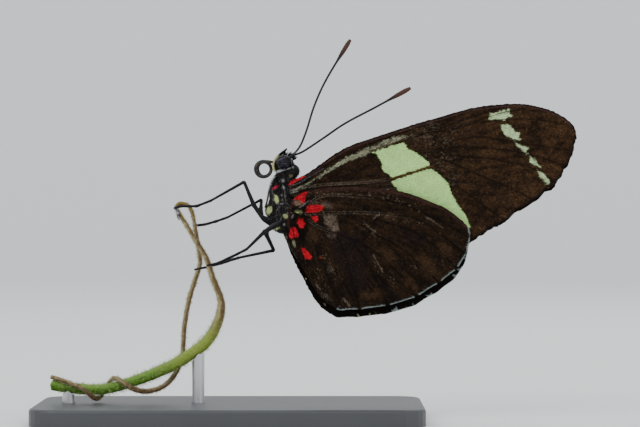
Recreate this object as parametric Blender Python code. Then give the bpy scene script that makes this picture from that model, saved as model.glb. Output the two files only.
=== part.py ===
"""A longwing butterfly at rest on a looped tendril, life size, with a plain display stand.

All sizes below are in millimetres. X runs from the head towards the wing tips, Y runs away from the
viewer of the left side, Z is up, and the origin is the centre of the underside of the stand's base.
"""

import math

import bmesh
import bpy
import numpy as np
from mathutils import Matrix, Vector
from mathutils.geometry import delaunay_2d_cdt

MM = 0.001
GAP = 0.3

# Body: centres and radii of the rounded parts
THORAX_CENTRE = (8.05, 0.0, 31.2)
THORAX_RADII = (2.6, 2.4, 4.35)
THORAX_TILT = 14.0
COLLAR_CENTRE = (8.9, 0.0, 36.1)
COLLAR_RADII = (1.25, 1.45, 1.15)
HEAD_CENTRE = (7.95, 0.0, 36.95)
HEAD_RADII = (1.4, 0.95, 1.4)
EYE_CENTRE = (7.84, 0.95, 37.36)
EYE_RADII = (1.15, 1.0, 1.08)

# Abdomen: x, y, z and radius along its axis
ABDOMEN = (
    (8.3, 0.0, 28.4, 0.95),
    (9.0, 0.0, 26.7, 1.1),
    (10.3, 0.0, 24.6, 1.2),
    (11.9, 0.0, 22.3, 1.2),
    (13.4, 0.0, 20.2, 1.1),
    (14.5, 0.0, 18.6, 0.85),
    (14.9, 0.0, 18.0, 0.45),
)

# Head parts, given for the right side (y above zero)
PALP = (
    (6.5, 0.6, 36.1, 0.24),
    (6.27, 0.63, 36.6, 0.26),
    (6.3, 0.64, 37.15, 0.26),
    (6.53, 0.64, 37.7, 0.25),
    (6.93, 0.62, 38.2, 0.25),
    (7.42, 0.58, 38.66, 0.25),
    (7.9, 0.54, 39.02, 0.2),
    (8.25, 0.5, 39.35, 0.12),
)
PROBOSCIS_CENTRE = (4.87, 36.34)
PROBOSCIS_RADIUS = 1.08
PROBOSCIS_START = 50.0
PROBOSCIS_END = 345.0
PROBOSCIS_TUBE = 0.29
ANTENNA_SHAFT = 0.25
ANTENNA_CLUB = 0.38

# Antennae: x and z from base to tip, and how far the tip stands out to the side
ANTENNA_NEAR = ((9.2, 38.4), (10.6, 38.9), (13.4, 40.7), (16.7, 42.9), (21.1, 45.2), (25.9, 47.8))
ANTENNA_FAR = (
    (9.1, 38.5), (9.55, 38.95), (10.1, 39.7), (10.6, 40.8), (11.2, 42.5), (12.3, 46.0), (14.1, 49.9),
    (17.6, 55.7),
)
ANTENNA_OUT = 6.4

# Wings: thickness of the membrane, its veins, and how far each layer lies from the midline
MEMBRANE = 0.5
VEIN_RISE = 0.08
VEIN_HALF = 0.32
FORE_LAYER = 0.5
HIND_LAYER = 1.46
TIP_SPREAD = 0.7
WING_ROOT = (9.9, 33.6)
WING_REACH = 41.0
FAR_FORE_TURN = -0.8
FAR_HIND_TURN = -1.3
FAR_HIND_SHIFT = (0.1, -1.05)

FORE_OUTLINE = (
    (8.4, 33.9), (8.7, 34.6), (9.9, 35.1), (11.3, 35.8), (13.05, 37.0), (14.8, 38.3), (17.0, 39.55),
    (19.2, 40.4), (22.1, 41.35), (25.0, 42.3), (30.7, 44.0), (33.9, 44.9), (37.0, 45.5), (41.7, 45.8),
    (44.9, 45.3), (47.3, 44.4), (49.3, 43.0), (50.2, 41.2), (49.9, 39.1), (49.2, 37.2), (48.2, 35.4),
    (46.4, 33.5), (43.3, 31.3), (40.1, 29.1), (37.0, 27.1), (34.2, 25.7), (30.4, 26.4), (21.7, 28.4),
    (13.5, 31.0), (9.3, 32.2),
)
HIND_OUTLINE = (
    (8.9, 31.6), (9.8, 32.5), (11.6, 33.3), (16.1, 33.8), (20.5, 33.6), (24.4, 33.2), (27.6, 32.2),
    (31.3, 30.6), (33.3, 29.1), (34.5, 27.8), (34.8, 26.3), (34.4, 24.5), (32.9, 22.0), (30.0, 19.7),
    (26.6, 17.7), (22.5, 16.5), (17.3, 15.9), (15.5, 16.2), (13.0, 18.0), (10.3, 22.5), (8.6, 25.9),
    (8.2, 27.8), (8.3, 30.0),
)
FORE_VEINS = (
    ((10.6, 34.0), (16.1, 37.2), (20.6, 39.1), (24.6, 40.6), (28.2, 41.5), (31.6, 42.0)),
    ((10.8, 33.3), (16.1, 34.0), (20.6, 34.4), (26.3, 35.9), (29.0, 36.7), (31.3, 37.7)),
    ((31.6, 42.0), (32.2, 40.6), (32.0, 39.0), (31.3, 37.7)),
    ((28.2, 41.5), (34.0, 43.6), (39.4, 45.1)),
    ((31.6, 42.0), (37.2, 43.3), (43.6, 43.6), (49.0, 42.8)),
    ((32.2, 40.6), (36.5, 41.0), (43.2, 40.0), (49.8, 38.9)),
    ((32.1, 39.6), (37.6, 39.4), (43.0, 38.6), (48.9, 36.7)),
    ((31.8, 38.4), (37.6, 37.9), (44.0, 36.5), (47.2, 34.4)),
    ((31.3, 37.7), (36.2, 35.5), (41.3, 33.3), (44.0, 31.9)),
    ((28.7, 36.5), (33.0, 33.8), (37.4, 30.7), (39.8, 29.0)),
    ((10.8, 32.4), (17.3, 31.4), (24.6, 29.2), (33.6, 26.4)),
)
HIND_VEINS = (
    ((10.6, 31.8), (15.9, 32.5), (22.4, 32.0), (28.2, 30.0), (34.3, 26.7)),
    ((10.8, 29.9), (14.4, 30.3), (18.4, 30.3), (21.7, 30.1), (27.5, 29.0), (33.8, 24.4)),
    ((10.8, 29.6), (12.9, 28.1), (15.5, 27.1), (19.1, 25.7)),
    ((21.7, 30.1), (21.0, 28.7), (20.0, 27.1), (19.1, 25.7)),
    ((21.1, 29.1), (26.8, 27.3), (31.1, 23.9), (32.6, 22.2)),
    ((20.2, 27.5), (25.3, 24.6), (29.2, 21.0), (30.2, 20.1)),
    ((19.1, 25.7), (23.1, 22.8), (26.3, 19.1), (27.0, 18.1)),
    ((17.6, 26.1), (20.0, 22.8), (22.1, 18.4), (22.8, 16.8)),
    ((15.5, 27.1), (16.8, 23.5), (18.1, 18.8), (18.7, 16.4)),
    ((10.6, 29.0), (12.3, 25.4), (14.2, 21.0), (15.8, 16.8)),
)

# Legs: x, y, z and radius of each joint from the body to the foot
MIDLEG_LEFT = (
    (6.3, -1.2, 28.2, 0.36), (4.95, -2.1, 29.1, 0.34), (3.5, -2.9, 31.2, 0.32), (2.15, -3.4, 34.5, 0.29),
    (-2.7, -2.0, 31.8, 0.26), (-4.8, -1.3, 31.0, 0.25), (-7.2, -1.05, 31.0, 0.24), (-8.1, -0.95, 30.7, 0.16),
)
MIDLEG_RIGHT = (
    (6.4, 1.1, 28.9, 0.36), (4.6, 2.2, 29.4, 0.34), (4.4, 3.0, 30.8, 0.32), (4.5, 3.5, 32.0, 0.3),
    (-0.4, 2.0, 29.4, 0.26), (-2.1, 1.7, 28.8, 0.25), (-3.7, 1.45, 28.35, 0.25), (-5.0, 1.25, 28.2, 0.24),
    (-5.9, 1.15, 28.0, 0.16),
)
HINDLEG_LEFT = (
    (7.6, -1.3, 28.7, 0.4), (6.3, -2.8, 28.1, 0.4), (5.1, -4.2, 27.35, 0.34), (2.5, -3.3, 24.8, 0.28),
    (-0.1, -2.15, 23.5, 0.26), (-1.7, -1.6, 22.75, 0.25), (-3.3, -1.05, 22.45, 0.18),
)
HINDLEG_RIGHT = (
    (6.8, 1.3, 28.3, 0.38), (5.4, 2.2, 27.6, 0.36), (5.2, 2.7, 26.9, 0.34), (6.3, 3.6, 24.55, 0.3),
    (1.2, 2.2, 23.5, 0.26), (-1.2, 1.6, 22.75, 0.25), (-3.2, 1.1, 22.2, 0.25), (-5.2, 0.8, 21.8, 0.16),
)
KNEE_BEND = 0.4
FORELEG = (
    (8.2, 34.9), (7.3, 35.2), (6.75, 35.5), (6.35, 35.2), (6.03, 34.7), (5.78, 34.15), (5.57, 33.6),
    (5.4, 33.0), (5.25, 32.4), (5.09, 31.8), (4.93, 31.2),
)
FORELEG_SIDE = 0.75
FORELEG_TUBE = 0.25

# Perch: x, y, z and radius of the stem, then of the tendril that it ends in
STEM = (
    (-25.8, 0.0, 5.1, 0.8), (-22.5, 0.0, 4.6, 0.8), (-19.4, 0.0, 4.4, 0.78), (-16.5, 0.0, 4.8, 0.76),
    (-12.6, 0.0, 6.1, 0.8), (-8.6, 0.0, 7.8, 0.84), (-5.8, 0.0, 9.5, 0.86), (-3.4, 0.0, 11.4, 0.84),
    (-1.9, 0.0, 13.9, 0.74), (-1.3, 0.0, 16.1, 0.6), (-1.4, 0.0, 17.7, 0.48), (-2.5, -0.1, 20.6, 0.42),
    (-3.0, -0.15, 22.3, 0.4), (-3.6, -0.3, 23.8, 0.37), (-5.0, -0.5, 26.1, 0.33),
    (-6.2, -0.3, 28.1, 0.3), (-7.4, -0.1, 30.0, 0.28), (-7.8, 0.0, 30.8, 0.27), (-7.5, 0.0, 31.35, 0.27),
)
TENDRIL = (
    (-7.5, 0.0, 31.35, 0.27), (-7.0, 0.0, 31.45, 0.27), (-6.2, 0.0, 31.2, 0.27), (-5.7, 0.05, 30.6, 0.27),
    (-5.3, 0.1, 29.3, 0.27), (-5.1, 0.25, 28.0, 0.28), (-4.8, 0.85, 26.1, 0.3), (-4.5, 1.5, 23.9, 0.33),
    (-4.5, 1.8, 22.4, 0.35), (-5.0, 1.9, 20.7, 0.36), (-6.0, 1.9, 17.5, 0.37), (-6.7, 1.9, 13.5, 0.36),
    (-7.0, 1.8, 9.4, 0.34), (-7.7, 1.6, 7.2, 0.35), (-8.8, 0.9, 5.6, 0.37), (-10.2, 0.2, 4.6, 0.38),
    (-11.8, -0.5, 4.2, 0.38), (-13.2, -1.1, 4.35, 0.37), (-14.5, -1.35, 4.9, 0.36),
    (-15.8, -1.1, 5.8, 0.33), (-16.7, -0.2, 6.1, 0.3), (-17.4, 0.8, 5.6, 0.3), (-18.1, 1.35, 4.5, 0.3),
    (-18.8, 0.9, 3.4, 0.3), (-19.4, -0.1, 3.12, 0.3), (-20.1, -1.1, 3.6, 0.3), (-21.0, -1.35, 4.5, 0.3),
    (-22.3, -1.2, 5.1, 0.3), (-23.6, -0.9, 5.6, 0.3), (-24.7, -0.7, 5.95, 0.3), (-25.9, -0.6, 6.3, 0.3),
)
# Arc lengths at which the stem and the tendril are divided
STEM_CUTS = (28.5,)
TENDRIL_CUTS = (6.6, 24.0, 36.0)
WITHERED_TIP = (
    (-7.55, -0.6, 30.3, 0.2), (-7.4, -0.75, 29.6, 0.22), (-7.5, -0.7, 28.9, 0.2), (-7.35, -0.7, 28.5, 0.12),
)

# Stand
BASE_SIZE = (56.0, 30.0, 2.5)
BASE_CORNER = 4.0
BASE_EDGE = 0.4
ROD_RADIUS = 0.9
ROD_SOCKET = 1.6
ROD_CLEARANCE = 0.15
ROD_PLACES = {"stand_rod_left": -23.4, "stand_rod_right": -4.6}

# Step between the rings of each tube, and along each outline and vein of a wing
LEG_STEP = 0.75
TUBE_STEP = 1.0
PALP_STEP = 0.35
RIM_STEP = 1.3
VEIN_STEP = 2.2

# Spacing of a wing's inner points near the body, then further out, and where the near ones lie
FINE_CENTRE = (9.9, 31.1)
FINE_SPACING = 1.0
WIDE_SPACING = 3.2
FINE_REACH = 7.5

COLOURS = {
    "body_black": ((0.016, 0.013, 0.012), 0.75),
    "eye_grey": ((0.11, 0.09, 0.1), 0.25),
    "palp_cream": ((0.35, 0.32, 0.24), 0.8),
    "antenna_dark": ((0.03, 0.028, 0.02), 0.5),
    "leg_grey": ((0.09, 0.075, 0.07), 0.6),
    "forewing_brown": ((0.05, 0.028, 0.018), 0.7),
    "hindwing_black": ((0.022, 0.015, 0.013), 0.7),
    "stem_green": ((0.2, 0.3, 0.05), 0.65),
    "tendril_brown": ((0.14, 0.085, 0.06), 0.75),
    "stand_base_grey": ((0.06, 0.062, 0.066), 0.5),
    "stand_rod_steel": ((0.55, 0.55, 0.56), 0.3),
}


def clear_scene():
    for thing in list(bpy.data.objects):
        bpy.data.objects.remove(thing, do_unlink=True)


def new_collection(name, helper=False):
    made = bpy.data.collections.new(name)
    bpy.context.scene.collection.children.link(made)
    made.hide_render = helper
    return made


def material(name):
    found = bpy.data.materials.get(name)
    if found:
        return found
    made = bpy.data.materials.new(name)
    made.use_nodes = True
    shader = made.node_tree.nodes["Principled BSDF"]
    colour, rough = COLOURS[name]
    shader.inputs["Base Color"].default_value = (*colour, 1.0)
    shader.inputs["Roughness"].default_value = rough
    shader.inputs["Metallic"].default_value = 1.0 if name == "stand_rod_steel" else 0.0
    made.diffuse_color = (*colour, 1.0)
    return made


def add_object(name, mesh, look, where=(0.0, 0.0, 0.0)):
    """A node in the parts collection, or a cutter when it has no look."""
    obj = bpy.data.objects.new(name, mesh)
    obj.location = Vector(where) * MM
    if look:
        mesh.materials.append(material(look))
        PARTS.objects.link(obj)
    else:
        CUTTERS.objects.link(obj)
        obj.hide_render = True
        obj.display_type = "WIRE"
    return obj


def mesh_from(name, build):
    """A mesh made by build(bm), with its faces turned outwards."""
    bm = bmesh.new()
    build(bm)
    bmesh.ops.recalc_face_normals(bm, faces=bm.faces)
    mesh = bpy.data.meshes.new(name)
    bm.to_mesh(mesh)
    bm.free()
    return mesh


def ellipsoid(name, centre, radii, look=None, grow=0.0, tilt=0.0):
    """A rounded part. A tilt, in degrees, leans its top towards the wing tips."""
    sizes = [r + grow for r in radii]

    def build(bm):
        bmesh.ops.create_uvsphere(bm, u_segments=24, v_segments=14, radius=MM)
        bmesh.ops.scale(bm, vec=sizes, verts=bm.verts)
        bmesh.ops.rotate(bm, matrix=Matrix.Rotation(math.radians(tilt), 3, "Y"), verts=bm.verts)

    return add_object(name, mesh_from(name, build), look, centre)


def cylinder(name, centre, radius, height, look=None):
    def build(bm):
        bmesh.ops.create_cone(
            bm, cap_ends=True, segments=32, radius1=radius * MM, radius2=radius * MM, depth=height * MM
        )

    return add_object(name, mesh_from(name, build), look, centre)


def cut(node, cutter):
    step = node.modifiers.new("Clear of " + cutter.name, "BOOLEAN")
    step.operation = "DIFFERENCE"
    step.solver = "EXACT"
    step.object = cutter


def smooth(points, step, closed=False):
    """The points as one soft curve, with its samples about one step apart."""
    given = np.array(points, float)
    count = len(given)
    fine = []
    for i in range(count if closed else count - 1):
        if closed:
            a, b, c, d = (given[(i + k) % count] for k in (-1, 0, 1, 2))
        else:
            b, c = given[i], given[i + 1]
            a = given[i - 1] if i else 2 * b - c
            d = given[i + 2] if i + 2 < count else 2 * c - b
        for t in np.linspace(0.0, 1.0, 12, endpoint=False):
            fine.append(0.5 * (2 * b + (c - a) * t + (2 * a - 5 * b + 4 * c - d) * t**2
                               + (3 * b - a - 3 * c + d) * t**3))
    fine.append(given[0] if closed else given[-1])
    return resample(np.array(fine), step, closed)


def arc_lengths(line):
    width = min(3, line.shape[1])
    steps = np.linalg.norm(np.diff(line[:, :width], axis=0), axis=1)
    return np.concatenate([[0.0], np.cumsum(steps)])


def resample(line, step, closed=False):
    along = arc_lengths(line)
    count = max(2, round(along[-1] / step) + 1)
    marks = np.linspace(0.0, along[-1], count)
    if closed:
        marks = marks[:-1]
    return np.stack([np.interp(marks, along, line[:, k]) for k in range(line.shape[1])], axis=1)


def stretch(line, start, end, step):
    """The part of a line between two arc lengths."""
    along = arc_lengths(line)
    count = max(2, round((end - start) / step) + 1)
    marks = np.linspace(start, end, count)
    return np.stack([np.interp(marks, along, line[:, k]) for k in range(line.shape[1])], axis=1)


def tube(name, line, look=None, grow=0.0, sides=1):
    """A round tube along x, y, z and radius rows, turned into a closed mesh."""
    curve = bpy.data.curves.new(name + "_line", "CURVE")
    curve.dimensions = "3D"
    curve.bevel_depth = MM
    curve.bevel_resolution = sides
    curve.use_fill_caps = True
    spline = curve.splines.new("POLY")
    spline.points.add(len(line) - 1)
    for point, (x, y, z, radius) in zip(spline.points, line):
        point.co = (x * MM, y * MM, z * MM, 1.0)
        point.radius = radius + grow
    guide = bpy.data.objects.new(name + "_line", curve)
    CUTTERS.objects.link(guide)
    graph = bpy.context.evaluated_depsgraph_get()
    mesh = bpy.data.meshes.new_from_object(guide.evaluated_get(graph))
    mesh.name = name
    bpy.data.objects.remove(guide, do_unlink=True)
    bm = bmesh.new()
    bm.from_mesh(mesh)
    bmesh.ops.remove_doubles(bm, verts=bm.verts, dist=1e-7)
    bmesh.ops.recalc_face_normals(bm, faces=bm.faces)
    bm.to_mesh(mesh)
    bm.free()
    return add_object(name, mesh, look)


def jointed(joints):
    """A path with straight lengths between its joints and a short bend at each."""
    rows = np.array(joints, float)
    line = [rows[0]]
    for before, here, after in zip(rows, rows[1:], rows[2:]):
        back, ahead = before - here, after - here
        start = here + back * min(0.4, KNEE_BEND / np.linalg.norm(back))
        end = here + ahead * min(0.4, KNEE_BEND / np.linalg.norm(ahead))
        for t in (0.0, 0.33, 0.67, 1.0):
            line.append((1.0 - t) ** 2 * start + 2.0 * t * (1.0 - t) * here + t * t * end)
    line.append(rows[-1])
    return np.array(line)


def rounded(line, at_start=True, at_end=True):
    """The same tube line with its ends drawn in."""
    rows = line.copy()
    if at_start:
        rows[0, 3] *= 0.7
    if at_end:
        rows[-1, 3] *= 0.7
    return rows


def body_width(x, z):
    """Half width of the body under a wing, drawn out past the thorax's edge at an even slope."""
    lean = math.radians(THORAX_TILT)
    dx, dz = x - THORAX_CENTRE[0], z - THORAX_CENTRE[2]
    across = dx * math.cos(lean) - dz * math.sin(lean)
    along = dx * math.sin(lean) + dz * math.cos(lean)
    q = math.hypot(across / THORAX_RADII[0], along / THORAX_RADII[2])
    if q < 0.75:
        return THORAX_RADII[1] * math.sqrt(1.0 - q * q)
    return THORAX_RADII[1] * max(0.0, 0.661 - 1.134 * (q - 0.75))


def abdomen_width(x, z):
    line = np.array(ABDOMEN)
    fine = resample(line, 0.5)
    away = np.hypot(fine[:, 0] - x, fine[:, 2] - z)
    near = int(away.argmin())
    return 1.15 * fine[near, 3] * math.exp(-((away[near] / 1.7) ** 2))


def soft_max(a, b, blend=0.25):
    return 0.5 * (a + b + math.sqrt((a - b) ** 2 + blend * blend))


def fore_sheet(x, z):
    """Distance of a forewing's middle surface from the midline."""
    reach = math.hypot(x - WING_ROOT[0], z - WING_ROOT[1]) / WING_REACH
    clear = GAP + 0.5 * MEMBRANE + VEIN_RISE
    return soft_max(FORE_LAYER, body_width(x, z) + clear) + TIP_SPREAD * reach * reach


def hind_sheet(x, z):
    """Distance of a hindwing's middle surface from the midline: outside the forewing and the body."""
    reach = math.hypot(x - WING_ROOT[0], z - WING_ROOT[1]) / WING_REACH
    clear = GAP + 0.5 * MEMBRANE + VEIN_RISE
    over_fore = min(1.0, max(0.0, z - 29.6)) * min(1.0, max(0.0, (x - 7.6) / 1.2))
    flat = HIND_LAYER + TIP_SPREAD * reach * reach
    body = soft_max(body_width(x, z), abdomen_width(x, z)) + clear
    fore = (fore_sheet(x, z) + HIND_LAYER - FORE_LAYER) * over_fore
    return soft_max(soft_max(flat, body), fore)


def turned(line, degrees):
    """The line turned about the wing's root, in the plane of the wing."""
    angle = math.radians(degrees)
    c, s = math.cos(angle), math.sin(angle)
    rows = line - np.array(WING_ROOT)
    return rows @ np.array([[c, s], [-s, c]]) + np.array(WING_ROOT)


def beside(line, offset):
    """The line moved sideways by an offset."""
    way = np.gradient(line, axis=0)
    way /= np.linalg.norm(way, axis=1)[:, None]
    return line + offset * np.stack([-way[:, 1], way[:, 0]], axis=1)


def distance_to(lines, x, z):
    """Distance from a point to the nearest of some lines."""
    best = 1e9
    here = np.array([x, z])
    for line in lines:
        start = line[:-1]
        run = line[1:] - start
        t = np.clip(((here - start) * run).sum(axis=1) / (run * run).sum(axis=1), 0.0, 1.0)
        best = min(best, float(np.linalg.norm(start + run * t[:, None] - here, axis=1).min()))
    return best


def inside(outline, x, z):
    ahead = np.roll(outline, -1, axis=0)
    spans = (outline[:, 1] > z) != (ahead[:, 1] > z)
    rise = np.where(spans, ahead[:, 1] - outline[:, 1], 1.0)
    cross = outline[:, 0] + (z - outline[:, 1]) * (ahead[:, 0] - outline[:, 0]) / rise
    return bool((spans & (x < cross)).sum() % 2)


def fill_points(outline, veins):
    """Extra points between the veins, close together near the root, where the sheet bends."""
    rim = np.vstack([outline, outline[:1]])
    low, high = outline.min(axis=0), outline.max(axis=0)
    found = []
    for spacing in (FINE_SPACING, WIDE_SPACING):
        for row, z in enumerate(np.arange(low[1], high[1], spacing * 0.87)):
            for x in np.arange(low[0] + 0.5 * spacing * (row % 2), high[0], spacing):
                near = math.hypot(x - FINE_CENTRE[0], z - FINE_CENTRE[1]) < FINE_REACH
                if near != (spacing == FINE_SPACING) or not inside(outline, x, z):
                    continue
                if distance_to([rim] + veins, x, z) > 0.45 * spacing:
                    found.append((x, z))
    return found


def wing(name, side, outline, veins, sheet, look, turn=0.0, shift=(0.0, 0.0)):
    """A membrane with raised veins. Both faces carry the same triangles, and a rim joins them."""
    rim = turned(smooth(outline, RIM_STEP, closed=True), turn) + np.array(shift)
    loop = np.vstack([rim, rim[:1]])
    lines = []
    for vein in veins:
        line = turned(smooth(vein, VEIN_STEP), turn) + np.array(shift)
        kept = [p for p in line if inside(rim, *p) and distance_to([loop], *p) > 0.6]
        lines.append(np.array(kept))
    points = [Vector(p) for p in rim]
    links = [(i, (i + 1) % len(rim)) for i in range(len(rim))]
    for line in lines:
        for offset in (-VEIN_HALF, 0.0, VEIN_HALF):
            first = len(points)
            points += [Vector(p) for p in beside(line, offset)]
            links += [(first + i, first + i + 1) for i in range(len(line) - 1)]
    points += [Vector(p) for p in fill_points(rim, lines)]
    flat, _, triangles, _, _, _ = delaunay_2d_cdt(points, links, [], 1, 1e-4)

    def build(bm):
        faces = []
        for away in (-1.0, 1.0):
            made = []
            for x, z in flat:
                rise = VEIN_RISE * max(0.0, 1.0 - distance_to(lines, x, z) / VEIN_HALF)
                y = side * sheet(x, z) + away * (0.5 * MEMBRANE + rise)
                made.append(bm.verts.new((x * MM, y * MM, z * MM)))
            faces.append(made)
        for tri in triangles:
            bm.faces.new([faces[0][i] for i in tri])
            bm.faces.new([faces[1][i] for i in reversed(tri)])
        bm.edges.ensure_lookup_table()
        for edge in [e for e in bm.edges if len(e.link_faces) == 1 and e.verts[0] in set(faces[0])]:
            a, b = (faces[0].index(v) for v in edge.verts)
            bm.faces.new((faces[0][a], faces[0][b], faces[1][b]))
            bm.faces.new((faces[0][a], faces[1][b], faces[1][a]))

    return add_object(name, mesh_from(name, build), look)


def make_body():
    ellipsoid("thorax", THORAX_CENTRE, THORAX_RADII, "body_black", tilt=THORAX_TILT)
    head = ellipsoid("head", HEAD_CENTRE, HEAD_RADII, "body_black")
    collar = ellipsoid("collar", COLLAR_CENTRE, COLLAR_RADII, "body_black")
    abdomen = tube("abdomen", smooth(ABDOMEN, 1.0), "body_black", sides=3)
    around_thorax = ellipsoid("around_thorax", THORAX_CENTRE, THORAX_RADII, grow=GAP, tilt=THORAX_TILT)
    around_head = ellipsoid("around_head", HEAD_CENTRE, HEAD_RADII, grow=GAP)
    cut(head, around_thorax)
    cut(collar, around_thorax)
    cut(collar, around_head)
    cut(abdomen, around_thorax)
    for name, side in (("left", -1.0), ("right", 1.0)):
        centre = (EYE_CENTRE[0], side * EYE_CENTRE[1], EYE_CENTRE[2])
        eye = ellipsoid("eye_" + name, centre, EYE_RADII, "eye_grey")
        around_eye = ellipsoid("around_eye_" + name, centre, EYE_RADII, grow=GAP)
        cut(eye, around_head)
        cut(collar, around_eye)
        line = smooth([(x, side * y, z, r) for x, y, z, r in PALP], PALP_STEP)
        palp = tube("palp_" + name, rounded(line, at_end=False), "palp_cream")
        cut(palp, around_head)
        cut(palp, around_eye)
    return around_thorax, around_head


def make_proboscis():
    """The coiled tongue, as the one turn that shows: it leaves the face above and curls down and back."""
    rows = []
    for degrees in np.linspace(PROBOSCIS_START, PROBOSCIS_END, 26):
        angle = math.radians(degrees)
        x = PROBOSCIS_CENTRE[0] + PROBOSCIS_RADIUS * math.cos(angle)
        z = PROBOSCIS_CENTRE[1] + PROBOSCIS_RADIUS * math.sin(angle)
        rows.append((x, 0.0, z, PROBOSCIS_TUBE))
    tube("proboscis", rounded(np.array(rows)), "antenna_dark")


def make_antenna(name, side, course, around_head):
    count = len(course)
    rows = []
    for i, (x, z) in enumerate(course):
        share = i / (count - 1)
        rows.append((x, side * (0.5 + ANTENNA_OUT * share), z, ANTENNA_SHAFT))
    line = smooth(rows, TUBE_STEP)
    along = arc_lengths(line) / arc_lengths(line)[-1]
    swell = np.clip((along - 0.8) / 0.14, 0.0, 1.0)
    line[:, 3] += (ANTENNA_CLUB - ANTENNA_SHAFT) * swell * swell * (3.0 - 2.0 * swell)
    line[-1, 3] *= 0.6
    cut(tube(name, line, "antenna_dark"), around_head)


def make_legs(around_thorax):
    legs = {
        "midleg_left": MIDLEG_LEFT,
        "midleg_right": MIDLEG_RIGHT,
        "hindleg_left": HINDLEG_LEFT,
        "hindleg_right": HINDLEG_RIGHT,
    }
    for name, course in legs.items():
        cut(tube(name, rounded(jointed(course), at_start=False), "leg_grey"), around_thorax)
    for name, side in (("foreleg_left", -1.0), ("foreleg_right", 1.0)):
        course = [(x, side * FORELEG_SIDE, z, FORELEG_TUBE) for x, z in FORELEG]
        cut(tube(name, rounded(smooth(course, LEG_STEP), at_start=False), "leg_grey"), around_thorax)


def lengths(line, cuts):
    """A line divided into lengths, with a gap at each division."""
    ends = [0.0, *cuts, arc_lengths(line)[-1]]
    parts = []
    for start, end in zip(ends, ends[1:]):
        first = start + (0.5 * GAP if start > 0.0 else 0.0)
        last = end - (0.5 * GAP if end < ends[-1] else 0.0)
        parts.append(stretch(line, first, last, TUBE_STEP))
    return parts


def make_perch():
    stem = smooth(STEM, 0.25)
    tendril = smooth(TENDRIL, 0.25)
    tendril = stretch(tendril, GAP, arc_lengths(tendril)[-1], 0.25)
    lower, upper = lengths(stem, STEM_CUTS)
    tube("perch_stem", lower, "stem_green", sides=2)
    tube("perch_stem_upper", upper, "tendril_brown")
    names = ("perch_tendril_loop", "perch_tendril_fall", "perch_tendril_bend", "perch_tendril_coil")
    for name, line in zip(names, lengths(tendril, TENDRIL_CUTS)):
        tube(name, line, "tendril_brown")
    tube("perch_withered_tip", smooth(WITHERED_TIP, 0.4), "tendril_brown")
    return lower


def make_stand(stem):
    width, depth, height = BASE_SIZE

    def build(bm):
        bmesh.ops.create_cube(bm, size=MM)
        bmesh.ops.scale(bm, vec=BASE_SIZE, verts=bm.verts)
        upright = [e for e in bm.edges if abs(e.verts[0].co.z - e.verts[1].co.z) > 0.5 * height * MM]
        bmesh.ops.bevel(bm, geom=upright, offset=BASE_CORNER * MM, segments=6, affect="EDGES", profile=0.5)
        top = [e for e in bm.edges if min(v.co.z for v in e.verts) > 0.49 * height * MM]
        bmesh.ops.bevel(bm, geom=top, offset=BASE_EDGE * MM, segments=2, affect="EDGES", profile=0.5)

    base = add_object("stand_base", mesh_from("stand_base", build), "stand_base_grey", (0, 0, 0.5 * height))
    around_stem = tube("around_stem", stem, grow=GAP, sides=2)
    for name, x in ROD_PLACES.items():
        near = int(np.abs(stem[:, 0] - x).argmin())
        foot = height - ROD_SOCKET
        top = float(stem[near, 2])
        rod = cylinder(name, (x, 0.0, 0.5 * (foot + top)), ROD_RADIUS, top - foot, "stand_rod_steel")
        cut(rod, around_stem)
        depth_cut = ROD_SOCKET + ROD_CLEARANCE + 1.0
        socket_z = height + 1.0 - 0.5 * depth_cut
        socket = cylinder("socket_" + name, (x, 0.0, socket_z), ROD_RADIUS + ROD_CLEARANCE, depth_cut)
        cut(base, socket)


def make_wings():
    fore = (FORE_OUTLINE, FORE_VEINS, fore_sheet, "forewing_brown")
    hind = (HIND_OUTLINE, HIND_VEINS, hind_sheet, "hindwing_black")
    wing("forewing_left", -1.0, *fore)
    wing("forewing_right", 1.0, *fore, turn=FAR_FORE_TURN)
    wing("hindwing_left", -1.0, *hind)
    wing("hindwing_right", 1.0, *hind, turn=FAR_HIND_TURN, shift=FAR_HIND_SHIFT)


clear_scene()
PARTS = new_collection("parts")
CUTTERS = new_collection("cutters", helper=True)
thorax_cutter, head_cutter = make_body()
make_proboscis()
make_antenna("antenna_left", -1.0, ANTENNA_NEAR, head_cutter)
make_antenna("antenna_right", 1.0, ANTENNA_FAR, head_cutter)
make_legs(thorax_cutter)
make_wings()
make_stand(make_perch())
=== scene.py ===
"""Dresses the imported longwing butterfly: scaled wings, downy body, legs, perch, stand and studio.

Lengths are in millimetres until a mesh is made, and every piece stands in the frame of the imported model:
X from the head towards the wing tips, Y away from the viewer of the left side, Z up.
"""

import math

import bmesh
import bpy
import numpy as np
from bpy.props import FloatProperty, FloatVectorProperty, IntProperty, PointerProperty
from mathutils import Matrix, Vector
from mathutils.geometry import delaunay_2d_cdt


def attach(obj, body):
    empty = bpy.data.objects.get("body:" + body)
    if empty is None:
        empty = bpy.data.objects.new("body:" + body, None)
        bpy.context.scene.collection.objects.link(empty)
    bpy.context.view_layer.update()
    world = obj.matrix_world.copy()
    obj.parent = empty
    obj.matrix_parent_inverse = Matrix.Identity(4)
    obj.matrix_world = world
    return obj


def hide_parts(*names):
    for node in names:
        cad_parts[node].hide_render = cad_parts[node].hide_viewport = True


bl_info = {
    "name": "Resting Longwing Butterfly",
    "version": (1, 0, 0),
    "blender": (4, 5, 0),
    "location": "3D View > Sidebar > Longwing",
    "description": "Builds the finished surfaces of a life-size longwing butterfly on its packed frame",
    "category": "Add Mesh",
}

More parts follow.
